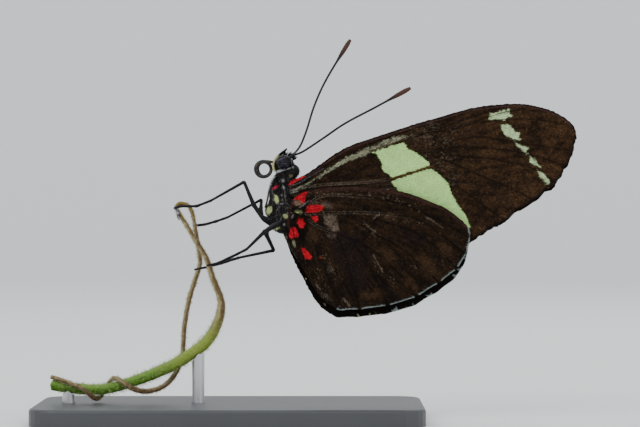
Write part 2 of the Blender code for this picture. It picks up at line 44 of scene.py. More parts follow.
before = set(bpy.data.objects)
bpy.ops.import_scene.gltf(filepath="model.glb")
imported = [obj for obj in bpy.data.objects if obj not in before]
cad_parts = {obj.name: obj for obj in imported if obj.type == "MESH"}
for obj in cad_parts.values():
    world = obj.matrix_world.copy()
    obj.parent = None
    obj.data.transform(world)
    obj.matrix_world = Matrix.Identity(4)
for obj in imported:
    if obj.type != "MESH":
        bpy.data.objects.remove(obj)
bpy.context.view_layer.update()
MM = 0.001

# Body: centres and radii of the rounded parts, and the thorax's lean in degrees
THORAX_CENTRE = (8.05, 0.0, 31.2)
THORAX_RADII = (2.6, 2.4, 4.35)
THORAX_TILT = 14.0
HEAD_CENTRE = (7.95, 0.0, 36.95)
EYE_CENTRE = (7.84, 0.95, 37.36)
EYE_RADII = (1.15, 1.0, 1.08)
# Height above which the down lies away from the eye, and the hairs in each tuft of the head
HEAD_START = 35.9
TUFT_HAIRS = 30
ABDOMEN_RINGS = 8.0

# Wings: distance of each layer from the midline, and how much further out the tips stand
FORE_LAYER = 0.5
HIND_LAYER = 1.46
TIP_SPREAD = 0.7
# Root of the wings as x and z, and the distance from there to the forewing's tip
WING_ROOT = np.array([9.9, 33.6])
WING_REACH = 41.0
# Space between body and wing, and the width over which a wing bends from one layer to the next
BODY_CLEARANCE = 0.5
SHEET_BLEND = 0.25
# Past this share of the thorax's radius, the width that the wings clear falls along a straight slope
SLOPE_START = 0.75
SLOPE_HEIGHT = 0.661
SLOPE_FALL = 1.134
# Depth of the pleats between the veins, and the skin's brightness as a share of the scales'
PLEAT_DEPTH = 0.05
SKIN_SHADE = 0.8
# How the far wings are turned in degrees, and moved, against the near ones
FAR_FORE_TURN = -0.8
FAR_HIND_TURN = -1.3
FAR_HIND_SHIFT = (0.1, -1.05)

FORE_OUTLINE = (
    (8.4, 33.9), (8.7, 34.6), (9.9, 35.1), (11.3, 35.8), (13.05, 37.0), (14.8, 38.3), (17.0, 39.55),
    (19.2, 40.4), (22.1, 41.35), (25.0, 42.3), (30.7, 44.0), (33.9, 44.9), (37.0, 45.5), (41.7, 45.8),
    (44.9, 45.3), (47.3, 44.4), (49.3, 43.0),
    (50.05, 41.2), (49.8, 39.1), (49.2, 37.2), (48.2, 35.4), (46.4, 33.5), (43.3, 31.3), (40.1, 29.1),
    (37.0, 27.1), (34.2, 25.7), (30.4, 26.4), (21.7, 28.4), (13.5, 31.0), (9.3, 32.2),
)
FORE_MARGIN = ((50.05, 41.2), (34.2, 25.7))
# Worn places of the forewing's margin: x, z and depth
FORE_NICKS = (
    (50.1, 40.3, 0.2), (48.9, 36.4, 0.5), (48.0, 34.9, 0.15), (46.0, 33.0, 0.2), (44.0, 31.6, 0.12),
    (41.6, 30.0, 0.15), (37.7, 27.5, 0.2),
)
HIND_OUTLINE = (
    (8.9, 31.6), (9.8, 32.5), (11.6, 33.3), (16.1, 33.8), (20.5, 33.6), (24.4, 33.2), (27.6, 32.2),
    (31.3, 30.6), (33.3, 29.1), (34.5, 27.8), (34.8, 26.3), (34.4, 24.5), (32.9, 22.0), (30.0, 19.7),
    (26.6, 17.7), (22.5, 16.5), (17.3, 15.9), (15.5, 16.2), (13.0, 18.0), (10.3, 22.5), (8.6, 25.9),
    (8.2, 27.8), (8.3, 30.0),
)
HIND_MARGIN = ((34.5, 27.8), (15.5, 16.2))
FORE_VEINS = (
    ((10.6, 34.7), (16.1, 38.2), (24.6, 41.6), (32.6, 44.0), (36.0, 45.2)),
    ((10.6, 34.0), (16.1, 37.2), (20.6, 39.1), (24.6, 40.6), (28.2, 41.5), (31.6, 42.0)),
    ((10.8, 33.3), (16.1, 34.0), (20.6, 34.4), (26.3, 35.9), (29.0, 36.7), (31.3, 37.7)),
    ((31.6, 42.0), (32.2, 40.6), (32.0, 39.0), (31.3, 37.7)),
    ((28.2, 41.5), (34.0, 43.6), (39.4, 45.4)),
    ((31.6, 42.0), (37.4, 43.9), (40.9, 44.8), (46.1, 44.8)),
    ((31.6, 42.0), (37.2, 43.3), (43.6, 43.6), (49.0, 42.8)),
    ((32.2, 40.6), (36.5, 41.0), (43.2, 40.0), (49.8, 38.9)),
    ((32.1, 39.6), (37.6, 39.4), (43.0, 38.6), (48.9, 36.7)),
    ((31.8, 38.4), (37.6, 37.9), (44.0, 36.5), (47.2, 34.4)),
    ((31.3, 37.7), (36.2, 35.5), (41.3, 33.3), (44.0, 31.9)),
    ((28.7, 36.5), (33.0, 33.8), (37.4, 30.7), (39.8, 29.0)),
    ((10.8, 32.4), (17.3, 31.4), (24.6, 29.2), (33.6, 26.4)),
)
HIND_VEINS = (
    ((10.6, 31.8), (15.9, 32.5), (22.4, 32.0), (28.2, 30.0), (34.3, 26.7)),
    ((10.8, 29.9), (14.4, 30.3), (18.4, 30.3), (21.7, 30.1), (27.5, 29.0), (33.8, 24.4)),
    ((10.8, 29.6), (12.9, 28.1), (15.5, 27.1), (19.1, 25.7)),
    ((21.7, 30.1), (21.0, 28.7), (20.0, 27.1), (19.1, 25.7)),
    ((21.1, 29.1), (26.8, 27.3), (31.1, 23.9), (32.6, 22.2)),
    ((20.2, 27.5), (25.3, 24.6), (29.2, 21.0), (30.2, 20.1)),
    ((19.1, 25.7), (23.1, 22.8), (26.3, 19.1), (27.0, 18.1)),
    ((17.6, 26.1), (20.0, 22.8), (22.1, 18.4), (22.8, 16.8)),
    ((15.5, 27.1), (16.8, 23.5), (18.1, 18.8), (18.7, 16.4)),
    ((10.6, 29.0), (12.3, 25.4), (14.2, 21.0), (15.8, 16.8)),
)

# Markings of the forewing's underside
CELL_PATCH = (
    (20.7, 38.8), (22.6, 39.5), (25.2, 40.3), (25.5, 39.8), (25.6, 39.35), (26.65, 38.95), (27.8, 38.25),
    (28.9, 37.2), (28.9, 36.9), (23.6, 35.2), (22.3, 36.1), (21.7, 37.8), (21.3, 38.5),
)
LOWER_PATCH = (
    (23.3, 34.6), (29.1, 36.5), (30.2, 35.7), (31.5, 34.3), (32.1, 32.9), (32.9, 31.3), (34.2, 29.6),
    (34.8, 28.0), (31.0, 27.4), (27.0, 29.0), (25.0, 32.0), (24.4, 33.3),
)
TIP_SPOTS = (
    ((37.6, 44.5), (40.3, 45.0), (40.7, 43.9), (39.4, 43.4), (37.4, 43.5)),
    ((39.0, 43.0), (40.5, 42.8), (41.7, 41.6), (41.9, 40.6), (40.6, 40.7), (39.7, 41.2)),
    ((40.9, 40.4), (43.1, 39.5), (43.0, 38.7), (41.7, 39.5)),
    ((43.3, 38.6), (44.1, 37.8), (45.0, 36.5), (43.3, 37.3)),
    ((44.2, 36.4), (45.5, 35.7), (46.3, 34.3), (45.6, 34.5), (44.7, 35.4)),
)
# Strokes: x, z and half width
CELL_STREAK = (
    (9.5, 33.35, 0.04), (11.5, 34.4, 0.09), (13.7, 35.7, 0.17), (15.3, 36.75, 0.27), (17.9, 38.2, 0.4),
    (19.65, 38.95, 0.55), (21.6, 39.8, 0.46), (23.7, 40.6, 0.38), (25.8, 41.15, 0.22), (26.5, 41.25, 0.1),
)
CELL_EDGE = ((20.2, 38.95, 0.08), (22.4, 39.75, 0.08), (25.5, 40.75, 0.07))
COSTA_RED = ((8.6, 34.22, 0.14), (9.1, 34.5, 0.2), (10.2, 35.05, 0.19), (10.75, 35.35, 0.1))
COSTA_GREY = ((8.7, 33.85, 0.08), (10.2, 34.45, 0.08), (11.3, 35.1, 0.08), (13.6, 36.5, 0.04))
# Pale hair lines at the forewing's root
ROOT_LINES = (
    ((8.6, 33.1, 0.05), (9.6, 33.5, 0.1), (10.8, 33.8, 0.06)), ((9.0, 32.9, 0.05), (9.7, 33.1, 0.14)),
    ((10.6, 33.6, 0.06), (12.4, 33.9, 0.05)), ((8.5, 32.6, 0.05), (8.7, 33.1, 0.07)),
)
STEM_LINE = ((9.0, 33.3), (13.2, 34.1), (19.1, 34.4), (23.2, 35.0), (29.1, 36.7))
PATCH_VEIN = ((23.3, 35.0), (26.3, 35.8), (29.4, 36.9))

# Markings of the hindwing's underside
HIND_REDS = (
    ((9.18, 32.26), (9.54, 32.74), (10.4, 33.05), (11.3, 33.1), (10.99, 32.6), (10.93, 32.0), (10.76, 31.4),
     (10.5, 31.36), (10.27, 31.78), (9.79, 31.9), (9.24, 31.84)),
    ((10.99, 30.33), (11.24, 30.93), (11.85, 31.18), (13.05, 31.18), (13.7, 31.06), (13.4, 30.57),
     (13.05, 30.2), (12.08, 30.03), (10.99, 30.06)),
    ((11.7, 29.5), (12.7, 29.6), (12.8, 29.0), (12.4, 28.6), (12.0, 29.0)),
    ((9.7, 28.6), (10.1, 29.3), (10.5, 29.1), (11.0, 28.5), (10.7, 27.9), (10.1, 27.9)),
    ((8.55, 26.7), (8.75, 27.6), (9.1, 27.95), (9.22, 27.1), (9.3, 26.4), (8.75, 26.3)),
    ((9.15, 27.95), (9.5, 27.9), (10.0, 26.9), (9.9, 26.5), (9.4, 26.5), (9.3, 27.1)),
    ((10.3, 25.0), (10.9, 24.95), (11.9, 23.7), (11.7, 23.3), (10.9, 23.4)),
)
# Rubbed places: outline, and how strong it is
HIND_GREYS = (
    (((13.5, 29.7), (15.4, 29.7), (15.7, 28.4), (15.8, 27.4), (15.0, 27.3), (14.4, 27.8), (13.8, 28.4)), 0.9),
    (((13.7, 27.1), (15.2, 26.9), (15.3, 26.4), (14.4, 26.3)), 0.45),
    (((11.6, 31.0), (12.6, 31.7), (13.9, 31.8), (15.0, 31.2), (15.0, 30.6), (13.9, 30.7), (12.6, 31.2)), 0.5),
    (((13.9, 22.5), (15.0, 22.1), (15.3, 21.3), (14.2, 21.3)), 0.35),
    (((12.9, 18.6), (14.0, 18.4), (14.9, 17.4), (14.2, 17.3)), 0.4),
)
# Rubbed strokes: x, z and half width
HIND_RUBS = (
    ((28.4, 29.4, 0.06), (29.4, 28.9, 0.1), (30.7, 27.9, 0.04)), ((16.4, 17.7, 0.1), (17.3, 16.7, 0.16)),
    ((19.6, 28.5, 0.06), (21.1, 27.2, 0.08)), ((20.5, 29.1, 0.05), (21.6, 29.8, 0.07)),
    ((20.8, 23.9, 0.07), (22.1, 21.6, 0.07)), ((12.4, 19.8, 0.1), (13.0, 19.1, 0.14)),
    ((26.7, 22.4, 0.12), (26.9, 22.1, 0.12)),
)
# Broad dark and tan clouds of the hindwing: x, z, half length, half width, turn in degrees
HIND_DARKS = ((17.5, 24.3, 3.4, 2.4, -60), (18.5, 20.6, 2.2, 1.4, -60), (26.5, 26.5, 1.8, 0.8, -30))
HIND_TANS = (
    (22.8, 24.0, 1.8, 0.9, -40), (23.2, 29.4, 1.1, 0.6, -20), (15.0, 31.0, 2.6, 0.7, 0),
    (28.6, 22.6, 2.2, 1.2, -40), (20.5, 18.2, 2.0, 0.8, 0), (12.0, 27.0, 1.0, 1.4, 0),
    (31.0, 25.0, 1.6, 0.8, -50), (26.4, 19.6, 1.6, 0.7, -40),
)
# Lines along which pale single scales gather: x, z and half width
HIND_GRITS = (
    ((11.5, 32.6, 0.3), (16.0, 32.9, 0.4), (22.0, 32.4, 0.4), (27.0, 30.6, 0.5)),
    ((19.4, 28.4, 0.4), (21.4, 26.6, 0.4)), ((20.6, 23.4, 0.3), (21.6, 21.0, 0.3)),
    ((23.4, 21.0, 0.3), (24.0, 18.6, 0.3)), ((12.4, 22.4, 0.5), (13.8, 18.6, 0.7)),
    ((13.6, 24.0, 0.4), (15.6, 20.5, 0.4)), ((21.5, 29.6, 0.3), (28.0, 28.4, 0.4)),
    ((30.2, 23.4, 0.3), (32.2, 22.2, 0.3)),
)
HIND_STEMS = (
    ((11.0, 29.9), (14.5, 30.05), (20.6, 30.0), (27.5, 29.3)),
    ((11.4, 29.0), (12.9, 28.0), (16.6, 26.6)),
    ((11.0, 30.2), (12.6, 32.2), (16.0, 32.6), (22.4, 32.1)),
)

# Markings of the body: x, z, half length, half width, turn in degrees and name of the colour
BODY_MARKS = (
    (7.7, 34.7, 0.32, 0.26, 30, "grey"), (6.6, 33.72, 0.52, 0.2, 34, "red"),
    (7.78, 33.74, 0.32, 0.17, -60, "white"),
    (8.0, 32.4, 0.95, 0.09, -83, "grey"), (6.74, 32.05, 0.72, 0.36, -77, "yellow"),
    (7.54, 32.6, 0.2, 0.14, 80, "grey"), (7.6, 31.9, 0.2, 0.14, 0, "dull"),
    (7.54, 31.35, 0.46, 0.14, 14, "lilac"), (5.7, 30.4, 0.74, 0.44, 65, "yellow"),
    (8.34, 30.74, 0.25, 0.15, -40, "dull"), (8.05, 29.58, 0.37, 0.33, 0, "yellow"),
    (8.36, 29.96, 0.26, 0.1, 75, "white"), (8.92, 30.16, 0.22, 0.12, 60, "grey"),
    (9.06, 29.5, 0.36, 0.12, 75, "grey"), (9.79, 30.23, 0.5, 0.23, -15, "yellow"),
    (10.7, 31.2, 0.93, 0.08, 38, "grey"), (8.85, 35.4, 0.3, 0.22, 0, "dull"),
    (7.9, 28.35, 0.22, 0.2, 0, "white"), (6.8, 27.9, 0.62, 0.36, 36, "yellow"),
    (5.6, 28.75, 0.22, 0.16, 40, "white"), (9.13, 36.62, 0.2, 0.18, 0, "grey"),
    (7.0, 30.6, 0.42, 0.1, 48, "grey"), (6.2, 32.0, 0.4, 0.07, -70, "grey"),
    (8.55, 33.6, 0.3, 0.07, 60, "grey"), (7.4, 29.2, 0.34, 0.08, 60, "grey"),
    (6.1, 33.2, 0.5, 0.06, -76, "grey"), (8.5, 31.2, 0.4, 0.06, -60, "grey"),
)
# The white line under the eye: x, z and half width
EYE_LINE = (
    (6.75, 35.95, 0.16), (7.1, 36.08, 0.18), (7.6, 36.2, 0.14), (8.1, 36.32, 0.1), (8.75, 36.52, 0.06),
)
# Dark streaks of the eye: x, z and half width
EYE_STREAKS = (
    ((8.2, 36.95, 0.08), (8.6, 37.1, 0.06)), ((7.0, 37.75, 0.05), (7.35, 38.05, 0.06)),
    ((7.12, 36.95, 0.1), (7.2, 36.75, 0.1)), ((7.18, 37.46, 0.08), (7.5, 37.66, 0.1), (7.78, 37.8, 0.08)),
    ((7.76, 37.27, 0.12), (8.1, 37.42, 0.17), (8.42, 37.5, 0.14)), ((7.3, 36.6, 0.09), (8.15, 36.76, 0.11)),
)
# Black tufts on the head: where each starts and ends
HEAD_TUFTS = (
    ((7.85, -0.35, 38.3), (8.12, -0.4, 38.95)),
    ((8.2, -0.3, 38.25), (8.45, -0.35, 38.75)),
    ((8.5, -0.2, 38.1), (8.88, -0.24, 38.95)),
    ((8.8, -0.2, 38.1), (9.15, -0.3, 38.6)),
    ((9.1, -0.4, 37.9), (9.85, -0.45, 38.1)),
)

# Paths of the limbs, of the perch and of the abdomen: x, y, z and radius
ABDOMEN = (
    (8.3, 0.0, 28.9, 1.2), (8.7, 0.0, 27.5, 1.1), (9.3, 0.0, 26.2, 1.1), (10.3, 0.0, 24.6, 1.15),
    (11.9, 0.0, 22.3, 1.15), (13.4, 0.0, 20.2, 1.05), (14.4, 0.0, 18.8, 0.8), (14.85, 0.0, 18.15, 0.45),
)
# Walking legs: number of the joint where the foot starts, then the joints
LEGS = {
    "midleg_left": (4, (
        (6.3, -1.2, 28.2, 0.3), (4.95, -2.1, 29.1, 0.28), (3.5, -2.9, 31.2, 0.26), (2.15, -3.4, 34.5, 0.19),
        (-2.7, -2.0, 31.8, 0.14), (-4.8, -1.3, 31.0, 0.15), (-7.2, -1.05, 31.0, 0.15),
        (-8.1, -0.95, 30.7, 0.1),
    )),
    "midleg_right": (4, (
        (6.4, 1.1, 28.9, 0.28), (4.6, 2.2, 29.4, 0.26), (4.4, 3.0, 30.8, 0.22), (4.5, 3.5, 32.0, 0.17),
        (-0.4, 2.0, 29.4, 0.14), (-2.1, 1.7, 28.8, 0.15), (-3.7, 1.45, 28.35, 0.15), (-4.6, 1.3, 28.25, 0.15),
        (-5.3, 1.2, 28.15, 0.1),
    )),
    "hindleg_left": (3, (
        (7.6, -1.3, 28.7, 0.36), (6.3, -2.8, 28.1, 0.34), (5.1, -4.2, 27.35, 0.24), (2.5, -3.3, 24.8, 0.15),
        (-0.1, -2.15, 23.5, 0.16), (-1.7, -1.6, 22.75, 0.16), (-3.3, -1.05, 22.45, 0.1),
    )),
    "hindleg_right": (4, (
        (6.8, 1.3, 28.3, 0.32), (5.4, 2.2, 27.6, 0.3), (5.2, 2.7, 26.9, 0.27), (6.3, 3.6, 24.55, 0.2),
        (1.2, 2.2, 23.5, 0.15), (-1.2, 1.6, 22.75, 0.16), (-3.2, 1.1, 22.2, 0.15), (-5.2, 0.8, 21.8, 0.1),
    )),
}
# How far from a joint its bend starts, and how much thicker the legs are than their paths say
KNEE_BEND = 0.25
LEG_WEIGHT = 1.25
# Forelegs: x and z, and the distance of both from the midline
FORELEG = (
    (8.2, 34.9), (7.4, 35.1), (6.75, 35.55), (6.4, 35.2), (6.08, 34.75), (5.86, 34.2), (5.72, 33.6),
    (5.6, 33.0), (5.5, 32.4), (5.38, 31.8), (5.24, 31.2), (5.1, 30.8),
)
FORELEG_SIDE = 0.75
STEM = (
    (-25.8, 0.0, 5.1, 0.8), (-22.5, 0.0, 4.6, 0.8), (-19.4, 0.0, 4.4, 0.78), (-16.5, 0.0, 4.8, 0.76),
    (-12.6, 0.0, 6.1, 0.8), (-8.6, 0.0, 7.8, 0.84), (-5.8, 0.0, 9.5, 0.86), (-3.4, 0.0, 11.4, 0.84),
    (-1.9, 0.0, 13.9, 0.74), (-1.3, 0.0, 16.1, 0.6), (-1.4, 0.0, 17.7, 0.48), (-2.5, -0.1, 20.6, 0.42),
    (-3.0, -0.15, 22.3, 0.4), (-3.6, -0.3, 23.8, 0.37), (-5.0, -0.5, 26.1, 0.33), (-6.2, -0.3, 28.1, 0.3),
    (-7.4, -0.1, 30.0, 0.28), (-7.8, 0.0, 30.8, 0.27), (-7.5, 0.0, 31.35, 0.27),
)
TENDRIL = (
    (-7.5, 0.0, 31.35, 0.27), (-7.0, 0.0, 31.45, 0.27), (-6.2, 0.0, 31.2, 0.27), (-5.7, 0.05, 30.6, 0.27),
    (-5.3, 0.1, 29.3, 0.27), (-5.1, 0.25, 28.0, 0.28), (-4.8, 0.85, 26.1, 0.3), (-4.5, 1.5, 23.9, 0.33),
    (-4.5, 1.8, 22.4, 0.35), (-5.0, 1.9, 20.7, 0.36), (-6.0, 1.9, 17.5, 0.37), (-6.7, 1.9, 13.5, 0.36),
    (-7.0, 1.8, 9.4, 0.34), (-7.7, 1.6, 7.2, 0.35), (-8.8, 0.9, 5.6, 0.37), (-10.2, 0.2, 4.6, 0.38),
    (-11.8, -0.5, 4.2, 0.38), (-13.2, -1.1, 4.35, 0.37), (-14.5, -1.35, 4.9, 0.36),
    (-15.8, -1.1, 5.8, 0.33), (-16.7, -0.2, 6.1, 0.3), (-17.4, 0.8, 5.6, 0.3), (-18.1, 1.35, 4.5, 0.3),
    (-18.8, 0.9, 3.4, 0.3), (-19.4, -0.1, 3.12, 0.3), (-20.1, -1.1, 3.6, 0.3), (-21.0, -1.35, 4.5, 0.3),
    (-22.3, -1.2, 5.1, 0.3), (-23.6, -0.9, 5.6, 0.3), (-24.7, -0.7, 5.95, 0.3), (-25.9, -0.6, 6.3, 0.3),
)
WITHERED_TIP = (
    (-7.62, -0.3, 31.0, 0.14), (-7.66, -0.5, 30.6, 0.2), (-7.56, -0.65, 30.15, 0.19),
    (-7.5, -0.7, 29.7, 0.23), (-7.42, -0.7, 29.3, 0.2), (-7.3, -0.68, 28.98, 0.08),
)
PALP = (
    (6.5, 0.6, 36.1, 0.13), (6.3, 0.63, 36.55, 0.17), (6.31, 0.64, 37.15, 0.15), (6.53, 0.64, 37.7, 0.15),
    (6.88, 0.62, 38.16, 0.17), (7.4, 0.58, 38.6, 0.2), (7.88, 0.54, 38.98, 0.17), (8.25, 0.5, 39.35, 0.07),
)
# Proboscis: middle of its coil and how far that drifts up to the tip, radius of the coil at its start and
# its tip, radius of the tube at its start and near its tip, and the degrees at its start and its tip
PROBOSCIS_CENTRE = (4.79, 36.32)
PROBOSCIS_DRIFT = (0.26, 0.1)
PROBOSCIS_COIL = (1.13, 0.96)
PROBOSCIS_TUBE = (0.27, 0.22)
PROBOSCIS_TURN = (90.0, 640.0)
# Antennae: radius of shaft and club, number of joints, x and z of each, and how far out their tips stand
ANTENNA_SHAFT = 0.16
ANTENNA_CLUB = 0.34
ANTENNA_JOINTS = 52.0
ANTENNA_NEAR = (
    (8.6, 38.1), (9.2, 38.4), (10.6, 38.9), (13.4, 40.7), (16.7, 42.9), (21.1, 45.2), (25.9, 47.8),
)
ANTENNA_FAR = (
    (8.7, 38.1), (9.1, 38.5), (9.55, 38.95), (10.1, 39.7), (10.6, 40.8), (11.2, 42.5), (12.3, 46.0),
    (14.1, 49.9), (17.5, 55.55),
)
ANTENNA_OUT = 6.4

# Scales: the point that they spread from, how much larger they are on the inner faces, and their lift
SCALE_CENTRE = WING_ROOT - (3.0, 1.0)
INNER_GROWTH = 1.9
SCALE_LIFT = 0.006
# Corners of one scale: share of its length, share of its width, and how far it rises
SCALE_SHAPE = (
    (0.0, -0.32, 0.0), (0.0, 0.32, 0.0), (0.62, -0.5, 0.022), (0.62, 0.5, 0.022),
    (1.0, -0.28, 0.034), (1.0, 0.28, 0.034),
)
# Painted shade and highlight on each of these corners: a scale is darker at its root and lighter at its tip
SCALE_PAINTED_LIGHT = (0.72, 0.72, 1.0, 1.0, 1.08, 1.08)
# Fringe: length of each hair inside the margin, and its width
FRINGE_ROOT = 0.1
FRINGE_WIDTH = 0.085
# Steps of one hair: share of its length, and share of its width there
BLADE_STEPS = ((0.0, 1.0), (0.4, 0.85), (0.75, 0.5))
# How far a tube's ends bulge, as a share of its radius
TUBE_DOME = 0.4
# Bake maps: width of a wing's map in millimetres, its edge, size of one patch, and the patches' corners
BAKE_SPAN = 48.0
BAKE_EDGE = 0.02
PATCH_SIZE = 0.003
BLADE_PATCH = ((-0.5, 0), (0.5, 0), (-0.5, 0.4), (0.5, 0.4), (-0.4, 0.8), (0.4, 0.8), (0, 1))
SCALE_PATCH = ((-0.4, 0), (0.4, 0), (-0.5, 0.6), (0.5, 0.6), (-0.3, 1), (0.3, 1))

# Colours without a setting of their own, on the eye's 0 to 255 scale
SHADES = {
    "frost": (106, 96, 80), "wing_edge": (16, 11, 11), "fore_costa": (64, 42, 40),
    "root_line": (120, 122, 112), "patch_vein": (84, 60, 34), "cell_edge": (78, 58, 38),
    "tip_spot": (180, 202, 152), "costa_grey": (72, 74, 72), "dark_cloud": (22, 14, 14),
    "tan_cloud": (58, 40, 24), "hind_costa": (58, 36, 32), "grit": (92, 80, 64), "blush": (110, 85, 70),
    "rust": (96, 44, 16), "root_spot": (120, 120, 92), "upper_patch": (226, 214, 130),
    "upper_ray": (150, 48, 30), "upper_grit": (150, 150, 112), "fringe_dark": (14, 11, 11),
    "body_sheen": (52, 44, 46), "belly": (150, 146, 110), "hair_highlight": (92, 86, 84), "tuft": (14, 12, 11),
    "eye_brow": (32, 27, 27), "eye_highlight": (68, 63, 76), "eye_black": (8, 7, 9), "eye_glint": (90, 84, 50),
    "eye_edge_shade": (14, 12, 14), "palp": (168, 168, 118), "palp_hair": (182, 180, 134),
    "palp_tip": (14, 12, 12), "tongue": (26, 23, 22), "tongue_highlight": (104, 92, 78),
    "shaft_light": (46, 46, 38), "leg_top_highlight": (56, 50, 54), "leg_root_highlight": (84, 78, 86),
    "foreleg": (78, 68, 62), "claw": (30, 26, 24), "stem_highlight": (176, 184, 112), "groove_and_shade": (86, 66, 42),
    "ash": (150, 150, 142), "dry_low": (96, 76, 50), "dry_top": (122, 106, 44),
    "withered": (148, 144, 150), "withered_dark": (48, 46, 54), "dry_hair": (196, 186, 148),
    "dry_hair_dark": (104, 88, 58), "stem_hair": (198, 214, 146), "stem_hair_dark": (126, 152, 68),
    "paint": (66, 67, 70), "steel": (196, 196, 198),
}

# Camera: the middle of the photo's frame and its width at the midline
VIEW_CENTRE = (13.05, 29.95)
VIEW_WIDTH = 92.8
VIEW_LENS = 150.0
# Where the floor starts to curve up behind the part, and the curve's radius
BACKDROP_BEND = (900.0, 300.0)
# The point that the lights face
LIGHT_AIM = (10.0, 0.0, 28.0)


def colour_of(r, g, b):
    """Linear colour from the eye's 0 to 255 scale."""
    return tuple(((v / 255.0 + 0.055) / 1.055) ** 2.4 if v > 10 else v / 255.0 / 12.92 for v in (r, g, b))


def shade(name):
    """Linear colour of one of the named shades."""
    return colour_of(*SHADES[name])


def colour_prop(name, about, r, g, b):
    return FloatVectorProperty(
        name=name, description=about, subtype="COLOR", size=3, min=0.0, max=1.0, default=colour_of(r, g, b)
    )


def size_prop(name, about, default):
    return FloatProperty(name=name, description=about + ", in mm", default=default, min=0.0)


def count_prop(name, about, default):
    return IntProperty(name=name, description=about, default=default, min=0)


class LongwingWings(bpy.types.PropertyGroup):
    membrane: size_prop("Membrane", "Thickness", 0.12)
    vein_rise: size_prop("Vein rise", "Height of a vein", 0.09)
    vein_half: size_prop("Vein half width", "Half width of a vein", 0.16)
    scallop: size_prop("Scallop", "Depth between two veins", 0.12)
    scale_row: size_prop("Scale row", "Space between rows", 0.15)
    scale_length: size_prop("Scale length", "Length of one scale", 0.29)
    scale_width: size_prop("Scale width", "Width of one scale", 0.15)
    fringe_length: size_prop("Fringe", "Length of the fringe", 0.16)
    seed: count_prop("Seed", "Start of the random spread of the scales", 7)
    brown: colour_prop("Brown", "Lighter ground colour of the forewing", 64, 44, 25)
    black: colour_prop("Black", "Lighter ground colour of the hindwing", 40, 26, 12)
    pale: colour_prop("Pale", "Colour of the pale patches", 176, 217, 134)
    red: colour_prop("Red", "Colour of the red marks", 162, 20, 32)
    rubbed: colour_prop("Rubbed", "Colour of rubbed places", 92, 80, 68)
    streak: colour_prop("Streak", "Colour of the forewing's pale streak", 142, 144, 118)
    fringe: colour_prop("Fringe", "Colour of the pale fringe", 144, 157, 154)


class LongwingBody(bpy.types.PropertyGroup):
    down_count: count_prop("Down", "Number of hairs on the body", 24000)
    down_length: size_prop("Down length", "Length of a body hair", 0.3)
    bristles: count_prop("Bristles", "Number of bristles on each leg", 420)
    seed: count_prop("Seed", "Start of the random spread of the hairs", 11)
    ground: colour_prop("Ground", "Colour of the body", 20, 17, 16)
    white: colour_prop("White", "Colour of the body's white spots", 146, 152, 148)
    yellow: colour_prop("Yellow", "Colour of the body's yellow spots", 186, 194, 134)
    dull: colour_prop("Dull", "Colour of the body's faint spots", 112, 108, 78)
    red: colour_prop("Red", "Colour of the body's red mark", 205, 35, 66)
    grey: colour_prop("Grey", "Colour of the body's grey lines", 116, 114, 112)
    lilac: colour_prop("Lilac", "Colour of the body's lilac streak", 116, 106, 120)
    eye: colour_prop("Eye", "Colour of the eyes", 24, 22, 30)
    leg: colour_prop("Leg", "Colour of the legs", 20, 18, 18)
    horn: colour_prop("Horn", "Colour of the antennae and the tongue", 16, 16, 13)
    club: colour_prop("Club", "Colour of the antennae's tips", 70, 40, 26)


class LongwingPerch(bpy.types.PropertyGroup):
    stem_hairs: count_prop("Stem hairs", "Number of hairs on the stem", 6000)
    tendril_hairs: count_prop("Tendril hairs", "Number of hairs on the tendril", 4200)
    hair_length: size_prop("Hair length", "Length of a plant hair", 0.5)
    seed: count_prop("Seed", "Start of the random spread of the hairs", 23)
    green: colour_prop("Green", "Colour of the fresh stem", 99, 142, 52)
    # Painted shade: the stem's underside is darkened towards this colour, mixed with random grain
    shaded_green: colour_prop("Deep green", "Colour of the stem's grooves", 62, 100, 22)
    khaki: colour_prop("Khaki", "Colour of the stem near its dry end", 146, 156, 66)
    # Also the painted shade on the tendril's side that faces down and away from the light
    brown: colour_prop("Brown", "Colour of the dry tendril's grooves", 104, 82, 52)
    cream: colour_prop("Cream", "Colour of the dry tendril's ridges", 166, 156, 112)


class LongwingStage(bpy.types.PropertyGroup):
    key_power: FloatProperty(name="Key", description="Power of the main light", default=1.25, unit="POWER")
    fill_power: FloatProperty(name="Fill", description="Power of the fill light", default=0.42, unit="POWER")
    back_power: FloatProperty(name="Back", description="Power of the back light", default=0.5, unit="POWER")
    sky: FloatProperty(name="Sky", description="Strength of the light all round", default=1.0)


def settings(group):
    return getattr(bpy.context.scene, "longwing_" + group)


def colour(group, name):
    return np.array(getattr(settings(group), name))


# Numbers spread in a fixed way


def lattice(ix, iz, seed):
    n = (ix.astype(np.int64) * 374761393 + iz.astype(np.int64) * 668265263 + seed * 974711) & 0xFFFFFFFF
    n = ((n ^ (n >> 13)) * 1274126177) & 0xFFFFFFFF
    return ((n ^ (n >> 16)) & 0xFFFF) / 65535.0


def cloud(x, z, size, seed):
    """Soft noise between -1 and 1 over a plane."""
    x, z = np.asarray(x) / size, np.asarray(z) / size
    ix, iz = np.floor(x), np.floor(z)
    fx, fz = x - ix, z - iz
    fx, fz = fx * fx * (3 - 2 * fx), fz * fz * (3 - 2 * fz)
    low = lattice(ix, iz, seed) * (1 - fx) + lattice(ix + 1, iz, seed) * fx
    high = lattice(ix, iz + 1, seed) * (1 - fx) + lattice(ix + 1, iz + 1, seed) * fx
    return 2.0 * (low * (1 - fz) + high * fz) - 1.0


def ramp(low, high, value):
    """Soft step from 0 at low to 1 at high."""
    t = np.clip((value - low) / (high - low), 0.0, 1.0)
    return t * t * (3.0 - 2.0 * t)


def mixed(ground, mark, share):
    return ground + (np.asarray(mark) - ground) * np.clip(share, 0.0, 1.0)[..., None]


def tiled(row, count):
    """One row repeated down a table."""
    return np.tile(row, (count, 1))


# Lines and outlines


def unit(rows):
    """The same directions, each with a length of one."""
    return rows / np.maximum(np.linalg.norm(rows, axis=1), 1e-9)[:, None]


